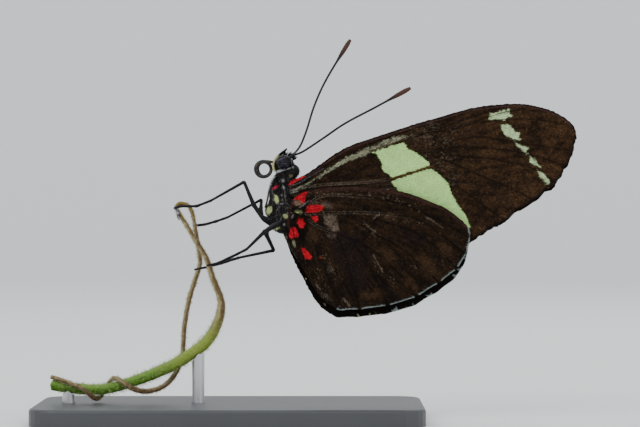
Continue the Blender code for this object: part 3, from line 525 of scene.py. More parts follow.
def left_of(ways):
    """Directions a quarter turn to the left of the given ones."""
    return np.stack([-ways[:, 1], ways[:, 0]], axis=1)


def spun(points, degrees):
    """Points of a plane turned about its zero point."""
    angle = math.radians(degrees)
    c, s = math.cos(angle), math.sin(angle)
    return points @ np.array([[c, s], [-s, c]])


def looped(line):
    """The line with its first point again at its end."""
    return np.vstack([line, line[:1]])


def smooth(points, step, closed=False):
    """The points as one soft curve, with its samples about one step apart."""
    given = np.array(points, float)
    if closed:
        padded = np.vstack([given[-1:], given, given[:2]])
    else:
        padded = np.vstack([2 * given[:1] - given[1:2], given, 2 * given[-1:] - given[-2:-1]])
    fine = []
    for a, b, c, d in zip(padded, padded[1:], padded[2:], padded[3:]):
        for t in np.linspace(0.0, 1.0, 12, endpoint=False):
            curve = 2 * b + (c - a) * t + (2 * a - 5 * b + 4 * c - d) * t**2 + (3 * b - a - 3 * c + d) * t**3
            fine.append(0.5 * curve)
    fine.append(given[0] if closed else given[-1])
    return resample(np.array(fine), step, closed)


def resample(line, step, closed=False):
    """The same line with evenly spaced samples."""
    along = arc_lengths(line)
    marks = np.linspace(0.0, along[-1], max(2, round(along[-1] / step) + 1))
    if closed:
        marks = marks[:-1]
    return np.stack([np.interp(marks, along, line[:, k]) for k in range(line.shape[1])], axis=1)


def jointed(joints, step):
    """A path with straight lengths between its joints and a short bend at each."""
    rows = np.array(joints, float)
    line = [rows[0]]
    for before, here, after in zip(rows, rows[1:], rows[2:]):
        back, ahead = before - here, after - here
        start = here + back * min(0.4, KNEE_BEND / np.linalg.norm(back))
        end = here + ahead * min(0.4, KNEE_BEND / np.linalg.norm(ahead))
        for t in np.linspace(0.0, 1.0, 6):
            line.append((1.0 - t) ** 2 * start + 2.0 * t * (1.0 - t) * here + t * t * end)
    line.append(rows[-1])
    return resample(np.array(line), step)


def arc_lengths(line):
    width = min(3, line.shape[1])
    return np.concatenate([[0.0], np.cumsum(np.linalg.norm(np.diff(line[:, :width], axis=0), axis=1))])


def shares(line):
    """How far along the line each of its points is, from 0 to 1."""
    along = arc_lengths(line)
    return along / along[-1]


def stretches(line, x, z):
    """For each straight stretch: its number, each point's place on it from 0 to 1, and its distance."""
    line = np.array(line, float)[:, :2]
    here = np.stack([x, z], axis=1)
    for i, (start, end) in enumerate(zip(line, line[1:])):
        run = end - start
        t = np.clip(((here - start) @ run) / (run @ run), 0.0, 1.0)
        yield i, t, np.linalg.norm(start + t[:, None] * run - here, axis=1)


def line_distance(line, x, z):
    """Distance of each point from a line, and how far along the line it is, from 0 to 1."""
    along = arc_lengths(np.array(line, float))
    best = np.full(len(x), 1e9)
    place = np.zeros(len(x))
    for i, t, away in stretches(line, x, z):
        near = away < best
        best[near] = away[near]
        place[near] = (along[i] + t[near] * (along[i + 1] - along[i])) / along[-1]
    return best, place


def stroke_depth(rows, x, z):
    """Above zero inside a stroke, which is given as rows of x, z and half width."""
    half = [row[2] for row in rows]
    depths = [half[i] + t * (half[i + 1] - half[i]) - away for i, t, away in stretches(rows, x, z)]
    return np.max(depths, axis=0)


def depth_in(outline, x, z):
    """Distance from the outline, above zero inside it."""
    outline = np.array(outline, float)
    away = line_distance(looped(outline), x, z)[0]
    odd = np.zeros(len(x), bool)
    for (ax, az), (bx, bz) in zip(outline, np.roll(outline, -1, axis=0)):
        if az == bz:
            continue
        spans = (az > z) != (bz > z)
        odd ^= spans & (x < ax + (z - az) * (bx - ax) / (bz - az))
    return np.where(odd, away, -away)


def oval(x, z, centre_x, centre_z, long, wide, degrees):
    """Above zero inside an oval, in millimetres near its edge."""
    angle = math.radians(degrees)
    dx, dz = x - centre_x, z - centre_z
    u = (dx * math.cos(angle) + dz * math.sin(angle)) / long
    v = (dz * math.cos(angle) - dx * math.sin(angle)) / wide
    return (1.0 - np.hypot(u, v)) * min(long, wide)


# Meshes


def add_object(name, data):
    """A new object in the scene."""
    obj = bpy.data.objects.new(name, data)
    bpy.context.scene.collection.objects.link(obj)
    return obj


def make_mesh(name, points, faces, look, tints, baked=None, replaces=()):
    """A piece from arrays in millimetres, with a tint for each point and, on a coat, its bake map."""
    mesh = bpy.data.meshes.new(name)
    mesh.from_pydata((np.asarray(points) * MM).tolist(), [], faces)
    layer = mesh.color_attributes.new("Tint", "FLOAT_COLOR", "POINT")
    filled = np.ones((len(points), 4), np.float32)
    filled[:, :3] = tints
    layer.data.foreach_set("color", filled.ravel())
    if baked is not None:
        layer = mesh.uv_layers.new(name="OFBake")
        corners = np.empty(len(mesh.loops), np.int32)
        mesh.loops.foreach_get("vertex_index", corners)
        layer.data.foreach_set("uv", np.asarray(baked, np.float32)[corners].ravel())
    mesh.polygons.foreach_set("use_smooth", [True] * len(mesh.polygons))
    mesh.materials.append(look)
    mesh.update()
    obj = add_object(name, mesh)
    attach(obj, "root")
    if replaces:
        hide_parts(*replaces)


def joined(parts):
    """Several (points, faces, tints) sets as one."""
    points, faces, tints, start = [], [], [], 0
    for part in parts:
        points.append(part[0])
        faces += [[i + start for i in face] for face in part[1]]
        tints.append(part[2])
        start += len(part[0])
    return np.vstack(points), faces, np.vstack(tints)


def ring_frames(line):
    """Two side directions at each point of a path, carried along it without twist."""
    way = unit(np.gradient(line[:, :3], axis=0))
    side = np.cross(way[0], (0.0, 0.0, 1.0))
    if np.linalg.norm(side) < 0.1:
        side = np.cross(way[0], (0.0, 1.0, 0.0))
    sides = []
    for step in way:
        side = side - step * (side @ step)
        side = side / np.linalg.norm(side)
        sides.append(side)
    sides = np.array(sides)
    return way, sides, np.cross(way, sides)


def tube(line, around, shape=None):
    """A closed tube along x, y, z and radius rows. shape(share, angle) scales its radius.

    Returns its points, faces, and for each point its share of the length and its angle.
    """
    way, across, over = ring_frames(line)
    angle = np.linspace(0.0, 2.0 * math.pi, around, endpoint=False)
    s, a = np.meshgrid(shares(line), angle, indexing="ij")
    scale = shape(s, a) if shape else np.ones_like(s)
    reach = (line[:, 3][:, None] * scale)[..., None]
    spread = across[:, None] * np.cos(a)[..., None] + over[:, None] * np.sin(a)[..., None]
    points = (line[:, None, :3] + reach * spread).reshape(-1, 3)
    ends = [line[0, :3] - way[0] * line[0, 3] * TUBE_DOME, line[-1, :3] + way[-1] * line[-1, 3] * TUBE_DOME]
    pairs = [(j, (j + 1) % around) for j in range(around)]
    top = (len(line) - 1) * around
    faces = [[i + j, i + k, i + around + k, i + around + j] for i in range(0, top, around) for j, k in pairs]
    for j, k in pairs:
        faces += [[top + around, k, j], [top + around + 1, top + j, top + k]]
    share = np.concatenate([s.ravel(), [0.0, 1.0]])
    angle = np.concatenate([a.ravel(), [0.0, 0.0]])
    return np.vstack([points, ends]), faces, share, angle


def blades(roots, ways, outs, lengths, widths, bend):
    """Tapered hairs of three steps each. ways is where they lie, outs where they stand out to."""
    side = unit(np.cross(ways, outs))
    rows = []
    for t, wide in BLADE_STEPS:
        spine = roots + (ways * t + outs * bend * t * (1.0 - 0.6 * t)) * lengths[:, None]
        half = side * (0.5 * widths * wide)[:, None]
        rows += [spine - half, spine + half]
    rows.append(roots + (ways + outs * bend * 0.4) * lengths[:, None])
    points = np.stack(rows, axis=1).reshape(-1, 3)
    base = np.arange(len(roots))[:, None] * len(rows)
    quads = np.concatenate([base + [0, 1, 3, 2], base + [2, 3, 5, 4]]).tolist()
    tips = (base + [4, 5, 6]).tolist()
    return points, quads + tips


def patch_map(u, v, corners):
    """A bake map in which each small piece is a patch at its root's place."""
    patch = np.array(corners, float) * PATCH_SIZE
    return (np.stack([u, v], axis=1)[:, None] + patch).reshape(-1, 2)


def make_hairs(name, hair, bend, u, v, tint, look):
    """A coat of blades as one piece. hair is what blades needs, and tint has one colour for each."""
    points, faces = blades(*hair, bend)
    tints = np.repeat(tint, len(BLADE_PATCH), axis=0)
    make_mesh(name, points, faces, look, tints, baked=patch_map(u, v, BLADE_PATCH))


# Materials


def new_material(name, rough, specular):
    """A material with its node tree and its shader."""
    made = bpy.data.materials.new(name)
    made.use_nodes = True
    shader = made.node_tree.nodes["Principled BSDF"]
    feed(made.node_tree, shader, {"Roughness": rough, "Specular IOR Level": specular})
    return made, made.node_tree, shader


def feed(tree, node, inputs):
    """Gives each named input its constant, or links it to the output that feeds it."""
    for socket, value in inputs.items():
        if isinstance(value, bpy.types.NodeSocket):
            tree.links.new(value, node.inputs[socket])
        else:
            node.inputs[socket].default_value = value


def add_node(tree, kind, inputs, **traits):
    """A shader node with its traits and inputs set. Returns its outputs."""
    node = tree.nodes.new("ShaderNode" + kind)
    for trait, value in traits.items():
        setattr(node, trait, value)
    feed(tree, node, inputs)
    return node.outputs


def grain_of(tree, scale, detail, rough=0.5):
    """Noise fixed in space."""
    place = add_node(tree, "NewGeometry", {})["Position"]
    inputs = {"Vector": place, "Scale": scale, "Detail": detail, "Roughness": rough}
    return add_node(tree, "TexNoise", inputs)["Fac"]


def spread_over(tree, value, low, high):
    """A value between 0 and 1 as one between low and high."""
    return add_node(tree, "MapRange", {"Value": value, "To Min": low, "To Max": high})["Result"]


def two_tones(tree, share, low, high):
    """Colour between two constant ones. A mix node's two colours are its inputs 6 and 7."""
    inputs = {"Factor": share, 6: (*low, 1.0), 7: (*high, 1.0)}
    return add_node(tree, "Mix", inputs, data_type="RGBA")[2]


def bump_from(tree, height, strength, depth, invert=False):
    inputs = {"Strength": strength, "Distance": depth, "Height": height}
    return add_node(tree, "Bump", inputs, invert=invert)["Normal"]


def tinted_material(name, rough, grain, depth, specular, change=0.25):
    """The piece's own tint, made livelier by fine grain, with a low bump of the same grain."""
    made, tree, shader = new_material(name, rough, specular)
    tint = add_node(tree, "Attribute", {}, attribute_name="Tint")["Color"]
    noise = grain_of(tree, 1.0 / (grain * MM), 3.0, 0.6)
    share = spread_over(tree, noise, 1.0 - change, 1.0 + change)
    lively = add_node(tree, "VectorMath", {0: tint, "Scale": share}, operation="SCALE")["Vector"]
    feed(tree, shader, {"Base Color": lively, "Normal": bump_from(tree, noise, 0.5, depth * MM)})
    return made


def brushed_material(name, tone, rough):
    """Bare metal with fine lines along its length."""
    made, tree, shader = new_material(name, rough, 0.5)
    place = add_node(tree, "NewGeometry", {})["Position"]
    inputs = {0: place, 1: (9000.0, 9000.0, 400.0)}
    drawn = add_node(tree, "VectorMath", inputs, operation="MULTIPLY")["Vector"]
    lines = add_node(tree, "TexNoise", {"Vector": drawn, "Scale": 1.0, "Detail": 2.0})["Fac"]
    sheen = spread_over(tree, lines, rough - 0.08, rough + 0.14)
    feed(tree, shader, {"Base Color": (*tone, 1.0), "Metallic": 1.0, "Roughness": sheen})
    return made


def painted_material(name, tone, rough):
    """Satin paint with a faint orange-peel surface."""
    made, tree, shader = new_material(name, rough, 0.45)
    tone = np.array(tone)
    coat = two_tones(tree, grain_of(tree, 90.0, 4.0), 0.9 * tone, 1.12 * tone)
    peel = bump_from(tree, grain_of(tree, 1800.0, 2.0), 0.25, 0.03 * MM)
    feed(tree, shader, {"Base Color": coat, "Normal": peel})
    return made


def eye_material(name):
    """Glossy eye covered in fine rounded facets."""
    made, tree, shader = new_material(name, 0.3, 0.14)
    tint = add_node(tree, "Attribute", {}, attribute_name="Tint")["Color"]
    place = add_node(tree, "NewGeometry", {})["Position"]
    cells = add_node(tree, "TexVoronoi", {"Vector": place, "Scale": 30000.0, "Randomness": 0.2})["Distance"]
    facets = bump_from(tree, cells, 0.2, 0.008 * MM, invert=True)
    feed(tree, shader, {"Base Color": tint, "Normal": facets})
    return made


# Wings


def soft_max(a, b):
    """The larger of two numbers, with a rounded change from one to the other."""
    return 0.5 * (a + b + np.sqrt((a - b) ** 2 + SHEET_BLEND * SHEET_BLEND))


def body_width(x, z):
    """Half width of the body under a wing, drawn out past the thorax's edge at an even slope."""
    lean = math.radians(THORAX_TILT)
    dx, dz = x - THORAX_CENTRE[0], z - THORAX_CENTRE[2]
    across = dx * math.cos(lean) - dz * math.sin(lean)
    along = dx * math.sin(lean) + dz * math.cos(lean)
    q = np.hypot(across / THORAX_RADII[0], along / THORAX_RADII[2])
    inner = np.sqrt(np.maximum(1.0 - q * q, 0.0))
    outer = np.maximum(0.0, SLOPE_HEIGHT - SLOPE_FALL * (q - SLOPE_START))
    return THORAX_RADII[1] * np.where(q < SLOPE_START, inner, outer)


def abdomen_width(x, z):
    """Half width of the abdomen under a wing, which fades out beside it."""
    path = np.array(ABDOMEN)
    away, place = line_distance(path[:, [0, 2]], x, z)
    marks = arc_lengths(path[:, :3])
    radius = np.interp(place * marks[-1], marks, path[:, 3])
    return 1.15 * radius * np.exp(-((away / 1.7) ** 2))


def wing_reach(x, z):
    """Distance from the wings' root as a share of the forewing's length."""
    return np.hypot(x - WING_ROOT[0], z - WING_ROOT[1]) / WING_REACH


def fore_sheet(x, z):
    """Distance of a forewing from the midline."""
    return soft_max(FORE_LAYER, body_width(x, z) + BODY_CLEARANCE) + TIP_SPREAD * wing_reach(x, z) ** 2


def hind_sheet(x, z):
    """Distance of a hindwing from the midline: outside the forewing and the body."""
    flat = HIND_LAYER + TIP_SPREAD * wing_reach(x, z) ** 2
    body = soft_max(body_width(x, z), abdomen_width(x, z)) + BODY_CLEARANCE
    over_fore = np.clip(z - 29.6, 0.0, 1.0) * np.clip((x - 7.6) / 1.2, 0.0, 1.0)
    fore = (fore_sheet(x, z) + HIND_LAYER - FORE_LAYER) * over_fore
    return soft_max(soft_max(flat, body), fore)


def turned(plan, points):
    """Points of a wing's plan, turned and moved to where that wing stands."""
    return spun(points - WING_ROOT, plan["turn"]) + WING_ROOT + plan["shift"]


def vein_distance(veins, x, z):
    return np.min([line_distance(smooth(vein, 1.5), x, z)[0] for vein in veins], axis=0)


def end_distance(veins, x, z):
    """Distance from the nearest place where a vein meets the margin."""
    return np.min([np.hypot(x - vein[-1][0], z - vein[-1][1]) for vein in veins], axis=0)


def margin_part(rim, margin):
    """Which rim samples belong to the outer margin: those from its first end to its second."""
    first = int(np.hypot(*(rim - margin[0]).T).argmin())
    last = int(np.hypot(*(rim - margin[1]).T).argmin())
    return np.arange(first, last + 1)


def out_of(rim):
    """Unit vectors that point out of a closed line."""
    way = unit(np.roll(rim, -1, axis=0) - np.roll(rim, 1, axis=0))
    area = 0.5 * np.sum(rim[:, 0] * np.roll(rim[:, 1], -1) - np.roll(rim[:, 0], -1) * rim[:, 1])
    return left_of(way) * (-1.0 if area > 0 else 1.0)


def wing_rim(plan, step):
    """The wing's edge. Its outer margin is drawn in for the fringe, and nicked where it is worn."""
    w = settings("wings")
    rim = smooth(plan["outline"], step, closed=True)
    part = margin_part(rim, plan["margin"])
    x, z = rim.T
    away = end_distance(plan["veins"], x, z)
    depth = w.fringe_length + w.scallop * (1.0 - np.exp(-((away / 0.85) ** 2)))
    depth += plan["ragged"] * np.maximum(0.0, cloud(x, z, 0.7, 31))
    for nick_x, nick_z, nick in plan["nicks"]:
        depth += nick * np.exp(-((x - nick_x) ** 2 + (z - nick_z) ** 2) / 0.25)
    inside = np.arange(len(part)) * step
    share = np.zeros(len(rim))
    share[part] = np.clip(np.minimum(inside, inside[::-1]) / 1.2, 0.0, 1.0)
    return rim - out_of(rim) * (depth * share)[:, None]


def wing_surface(plan, points, face, lift):
    """Points of a wing's plan set on its outer face (1), its inner face (-1) or its middle (0)."""
    w = settings("wings")
    away = vein_distance(plan["veins"], *points.T)
    vein = w.vein_rise * (1.0 - ramp(0.2 * w.vein_half, w.vein_half, away))
    pleat = PLEAT_DEPTH * ramp(0.1, 1.2, away)
    placed = turned(plan, points)
    sheet = plan["sheet"](*placed.T)
    y = plan["side"] * (sheet - pleat + face * (0.5 * w.membrane + vein + lift))
    return np.stack([placed[:, 0], y, placed[:, 1]], axis=1)


def near_rim(plan, x, z):
    """Distance from the wing's edge."""
    return line_distance(looped(wing_rim(plan, 0.5)), x, z)[0]


def near_margin(plan, x, z):
    """Distance from the wing's outer margin."""
    rim = wing_rim(plan, 0.5)
    return line_distance(rim[margin_part(rim, plan["margin"])], x, z)[0]


def wing_ground(plan, x, z, light, seed):
    """Blotches and streaks between the veins, with single paler scales."""
    reach = wing_reach(x, z)
    angle = np.arctan2(z - WING_ROOT[1], x - WING_ROOT[0])
    streak = cloud(reach * 12.0, angle * 55.0, 1.0, seed)
    blotch = 0.55 * cloud(x, z, 2.1, seed + 1) + 0.45 * cloud(x, z, 0.8, seed + 2)
    grain = cloud(x, z, 0.3, seed + 3)
    veins = vein_distance(plan["veins"], x, z)
    share = 0.45 + 0.5 * blotch + 0.35 * streak + 0.35 * grain
    share = share * (0.25 + 0.75 * ramp(0.04, 0.3, veins))
    tint = mixed(tiled(0.22 * light, len(x)), light, share)
    fine = ramp(0.62, 0.92, cloud(x, z, 0.15, seed + 4)) + ramp(0.7, 0.95, cloud(x, z, 0.24, seed + 5))
    return mixed(tint, 2.2 * light + 0.02, 0.4 * fine * (0.5 + 0.5 * blotch + 0.4 * streak)), veins


def fore_under(plan, x, z):
    """Tints of the forewing's underside."""
    red, pale, rubbed, streak = (colour("wings", n) for n in ("red", "pale", "rubbed", "streak"))
    reach = wing_reach(x, z)
    tint, veins = wing_ground(plan, x, z, colour("wings", "brown"), 3)
    tint = tint * (0.25 + 0.35 * ramp(0.04, 0.12, reach) + 0.4 * ramp(0.4, 0.95, reach))[:, None]
    grit = cloud(x, z, 0.2, 12)
    frost = ramp(0.2, 0.9, grit + 0.5 * cloud(x, z, 1.4, 10)) * (z > 34.0)
    tint = mixed(tint, shade("frost"), 0.32 * frost * np.exp(-(((x - 29.5) / 3.6) ** 2)))
    edge = near_rim(plan, x, z)
    tint = mixed(tint, shade("wing_edge"), 0.8 * (1.0 - ramp(0.05, 0.3, edge)))
    front = z > 0.22 * x + 31.5
    costa = ramp(0.12, 0.3, edge) * (1.0 - ramp(0.35, 0.5, edge)) * front
    tint = mixed(tint, shade("fore_costa"), 0.6 * costa)
    lower = z < 34.9 - 0.02 * (x - 20.0) ** 2
    lines = 0.5 + 0.5 * cloud(wing_reach(x, z - 0.1 * x) * 6.0, (z - 33.6 - 0.04 * x) * 3.2, 1.0, 17)
    tint = mixed(tint, rubbed, 0.35 * lines * lower * (x < 28.0))
    inside = stroke_depth(CELL_STREAK, x, z)
    along = cloud(wing_reach(x, z) * 16.0, (z - 0.58 * x) * 5.0, 1.0, 18)
    share = ramp(-0.08, 0.22, inside + 0.16 * grit + 0.12 * along) * (0.5 + 0.35 * grit + 0.25 * along)
    tint = mixed(tint, streak, share)
    tint = mixed(tint, 1.3 * streak, share * ramp(0.3, 0.7, cloud(x, z, 0.13, 19)))
    for line in ROOT_LINES:
        share = ramp(-0.05, 0.05, stroke_depth(line, x, z) + 0.05 * grit)
        tint = mixed(tint, shade("root_line"), 0.6 * share)
    away, place = line_distance(smooth(STEM_LINE, 0.8), x, z)
    line = (1.0 - ramp(0.03, 0.1, np.abs(away - 0.14))) * (1.0 - ramp(0.55, 0.8, place))
    tint = mixed(tint, rubbed, 0.45 * line)
    ragged = 0.1 * cloud(x, z, 0.34, 8) + 0.05 * cloud(x, z, 0.15, 9)
    patch = np.maximum(depth_in(CELL_PATCH, x, z), depth_in(LOWER_PATCH, x, z))
    pale_here = pale * (1.0 + 0.06 * cloud(x, z, 1.2, 14) + 0.04 * cloud(x * 3.0, z, 0.6, 15))[:, None]
    tint = mixed(tint, pale_here, ramp(-0.05, 0.07, patch + ragged))
    away = line_distance(PATCH_VEIN, x, z)[0]
    tint = mixed(tint, shade("patch_vein"), 0.95 * (1.0 - ramp(0.06, 0.14, away)))
    tint = mixed(tint, shade("cell_edge"), 0.8 * ramp(-0.05, 0.03, stroke_depth(CELL_EDGE, x, z)))
    for spot in TIP_SPOTS:
        beyond = ramp(-0.2, 0.5, x - np.mean([p[0] for p in spot]))
        fuzzy = 0.3 * cloud(x * 0.6, z, 0.2, 16) * beyond
        share = ramp(-0.07 - 0.14 * beyond, 0.17, depth_in(spot, x, z) - 0.06 + 1.2 * ragged + fuzzy)
        share = share * (0.9 + 0.2 * cloud(x, z, 0.3, 19)) * (0.3 + 0.7 * ramp(0.05, 0.12, veins))
        tint = mixed(tint, shade("tip_spot"), share)
    grey = ramp(-0.03, 0.04, stroke_depth(COSTA_GREY, x, z))
    tint = mixed(tint, shade("costa_grey"), 0.8 * grey)
    return mixed(tint, red, ramp(-0.04, 0.04, stroke_depth(COSTA_RED, x, z) + 0.4 * ragged))


def hind_under(plan, x, z):
    """Tints of the hindwing's underside."""
    red, black, rubbed = (colour("wings", n) for n in ("red", "black", "rubbed"))
    tint, _ = wing_ground(plan, x, z, black, 41)
    root = ramp(24.0, 26.5, z) * (1.0 - ramp(10.6, 13.0, x))
    tint = tint * (1.0 - 0.7 * root)[:, None] * (0.75 + 0.25 * ramp(17.0, 23.0, z))[:, None]
    for px, pz, long, wide, degrees in HIND_DARKS:
        share = ramp(-0.3, 0.5, oval(x, z, px, pz, long, wide, degrees) + 0.3 * cloud(x, z, 0.6, 50))
        tint = mixed(tint, shade("dark_cloud"), 0.6 * share)
    for px, pz, long, wide, degrees in HIND_TANS:
        share = ramp(-0.2, 0.5, oval(x, z, px, pz, long, wide, degrees) + 0.35 * cloud(x, z, 0.5, 58))
        tint = mixed(tint, shade("tan_cloud"), 0.55 * share)
    edge = near_rim(plan, x, z)
    costa = (1.0 - ramp(0.4, 0.7, edge)) * (z > 27.9)
    tint = mixed(tint, shade("hind_costa"), 0.5 * costa)
    grit = cloud(x, z, 0.2, 44)
    for line in HIND_GRITS:
        near = ramp(-0.5, 0.3, stroke_depth(line, x, z))
        tint = mixed(tint, shade("grit"), 0.75 * near * ramp(0.45, 0.9, cloud(x, z, 0.14, 59)))
    for line in HIND_STEMS:
        away, place = line_distance(smooth(line, 0.8), x, z)
        pair = (1.0 - ramp(0.03, 0.11, np.abs(away - 0.16))) * (1.0 - ramp(0.5, 1.0, place))
        tint = mixed(tint, rubbed, 0.6 * pair * (0.7 + 0.5 * grit))
    for patch, strength in HIND_GREYS:
        share = ramp(-0.15, 0.25, depth_in(patch, x, z) + 0.14 * grit)
        tint = mixed(tint, rubbed, strength * share * (0.8 + 0.4 * cloud(x, z, 0.35, 45)))
    for stroke in HIND_RUBS:
        share = ramp(-0.1, 0.08, stroke_depth(stroke, x, z) + 0.1 * grit)
        tint = mixed(tint, 1.2 * rubbed, 0.6 * share)
    blush = ramp(-0.1, 0.3, oval(x, z, 9.95, 31.5, 0.9, 0.5, 0) + 0.1 * grit)
    tint = mixed(tint, shade("blush"), 0.8 * blush)
    ragged = 0.05 * cloud(x, z, 0.22, 48)
    for mark in HIND_REDS:
        lively = red * (1.0 + 0.18 * cloud(x, z, 0.4, 49))[:, None]
        tint = mixed(tint, lively, ramp(-0.05, 0.05, depth_in(mark, x, z) + ragged))
    for px, pz, size in ((13.25, 31.85, 0.16), (13.2, 23.6, 0.25)):
        share = ramp(0.0, 0.1, oval(x, z, px, pz, size * 1.6, size, 0))
        tint = mixed(tint, shade("rust"), 0.7 * share)
    tint = mixed(tint, shade("root_spot"), 0.7 * ramp(-0.05, 0.1, oval(x, z, 9.3, 25.6, 0.6, 0.24, -75)))
    tint = body_marks(tint, x, z, np.ones(len(x)))
    line = (1.0 - ramp(0.02, 0.1, near_margin(plan, x, z))) * fringe_share(plan, x, z)
    return mixed(tint, colour("wings", "fringe"), 0.6 * line)


def fringe_share(plan, x, z):
    """How pale the fringe is: pale between the veins and dark where a vein ends."""
    ends = end_distance(plan["veins"], x, z)
    reach, start = plan["fringe"]
    patchy = ramp(-0.4, 0.2, cloud(x, z, 0.9, 71) + 2.0 * reach - 1.0)
    return reach * ramp(0.25, 0.5, ends) * patchy * ramp(start, start + 1.0, x)


def fore_upper(plan, x, z):
    """Tints of the forewing's upper side, which the folded wings hide: a guess from the species."""
    tint = tiled(0.35 * colour("wings", "black"), len(x))
    patch = np.maximum(depth_in(CELL_PATCH, x, z), depth_in(LOWER_PATCH, x, z))
    for spot in TIP_SPOTS:
        patch = np.maximum(patch, depth_in(spot, x, z))
    return mixed(tint, shade("upper_patch"), ramp(-0.05, 0.1, patch + 0.1 * cloud(x, z, 0.3, 61)))


def hind_upper(plan, x, z):
    """Tints of the hindwing's upper side: black with sparse pale scales, and dull rays as a guess."""
    tint = tiled(0.15 * colour("wings", "black"), len(x))
    angle = np.arctan2(z - 31.5, x - 11.0)
    rays = ramp(0.35, 0.8, np.cos(angle * 34.0)) * ramp(0.15, 0.3, wing_reach(x, z))
    edge = near_rim(plan, x, z)
    rays *= ramp(1.8, 3.4, edge)
    tint = mixed(tint, shade("upper_ray"), 0.8 * rays)
    dashes = (1.0 - ramp(0.12, 0.3, edge)) * ramp(0.1, 0.4, cloud(x, z, 0.5, 63)) * ramp(21.0, 24.0, x)
    tint = mixed(tint, colour("wings", "fringe"), 0.8 * dashes)
    gathered = 0.3 + 0.7 * (x < 21.0)
    return mixed(tint, shade("upper_grit"), gathered * ramp(0.8, 0.95, cloud(x, z, 0.13, 62)))


# What each wing is built from. lie is the turn of its rows of scales in degrees, and fringe is how pale
# its fringe gets, and the x from which it is pale
FORE_PLAN = {
    "outline": FORE_OUTLINE, "veins": FORE_VEINS, "margin": FORE_MARGIN, "sheet": fore_sheet,
    "under": fore_under, "upper": fore_upper, "ragged": 0.2, "nicks": FORE_NICKS, "fringe": (0.3, 20.0),
    "slot": "forewing_brown", "lie": 18.0,
}
HIND_PLAN = {
    "outline": HIND_OUTLINE, "veins": HIND_VEINS, "margin": HIND_MARGIN, "sheet": hind_sheet,
    "under": hind_under, "upper": hind_upper, "ragged": 0.05, "nicks": (), "fringe": (0.95, 14.5),
    "slot": "hindwing_black", "lie": -22.0,
}
WINGS = {
    "forewing_left": dict(FORE_PLAN, side=-1.0, turn=0.0, shift=(0.0, 0.0)),
    "forewing_right": dict(FORE_PLAN, side=1.0, turn=FAR_FORE_TURN, shift=(0.0, 0.0)),
    "hindwing_left": dict(HIND_PLAN, side=-1.0, turn=0.0, shift=(0.0, 0.0)),
    "hindwing_right": dict(
        HIND_PLAN, side=1.0, turn=FAR_HIND_TURN, shift=FAR_HIND_SHIFT, fringe=(0.95, 22.5)
    ),
}


def grid_inside(rim, step, clear, degrees=0.0):
    """Staggered points at an even spacing inside a closed line."""
    middle = rim.mean(axis=0)
    reach = np.abs(rim - middle).max() * 1.5
    x, z = np.meshgrid(np.arange(-reach, reach, step), np.arange(-reach, reach, step * 0.87))
    x[1::2] += 0.5 * step
    points = spun(np.stack([x.ravel(), z.ravel()], axis=1), degrees) + middle
    points = points[((points > rim.min(axis=0)) & (points < rim.max(axis=0))).all(axis=1)]
    return points[depth_in(rim, *points.T) > clear]


def build_membrane(name, plan, look):
    """The wing's skin: two faces with raised veins, and a rim."""
    w = settings("wings")
    rim = wing_rim(plan, 0.3)
    points = [Vector(p) for p in rim]
    links = [(i, (i + 1) % len(rim)) for i in range(len(rim))]
    for vein in plan["veins"]:
        line = smooth(vein, 0.5)
        line = line[depth_in(rim, *line.T) > 0.3]
        beside = left_of(unit(np.gradient(line, axis=0)))
        for offset in (-w.vein_half, 0.0, w.vein_half):
            first = len(points)
            points += [Vector(p) for p in line + offset * beside]
            links += [(i, i + 1) for i in range(first, len(points) - 1)]
    fill = grid_inside(rim, 0.5, 0.2)
    fill = fill[vein_distance(plan["veins"], *fill.T) > 1.6 * w.vein_half]
    points += [Vector(p) for p in fill]
    flat, _, triangles, *_ = delaunay_2d_cdt(points, links, [], 1, 1e-4)
    flat = np.array([tuple(p) for p in flat])
    count = len(flat)
    faces, sides = [], {}
    for a, b, c in triangles:
        faces += [[a, b, c], [c + count, b + count, a + count]]
        sides.update(dict.fromkeys(((a, b), (b, c), (c, a))))
    faces += [[b, a, a + count, b + count] for a, b in sides if (b, a) not in sides]
    if plan["side"] < 0:
        faces = [face[::-1] for face in faces]
    halves = [wing_surface(plan, flat, face, 0.0) for face in (1.0, -1.0)]
    tints = [SKIN_SHADE * plan[tint](plan, *flat.T) for tint in ("under", "upper")]
    make_mesh(
        name + "_skin", np.vstack(halves), faces, look, np.vstack(tints), replaces=(name,)
    )


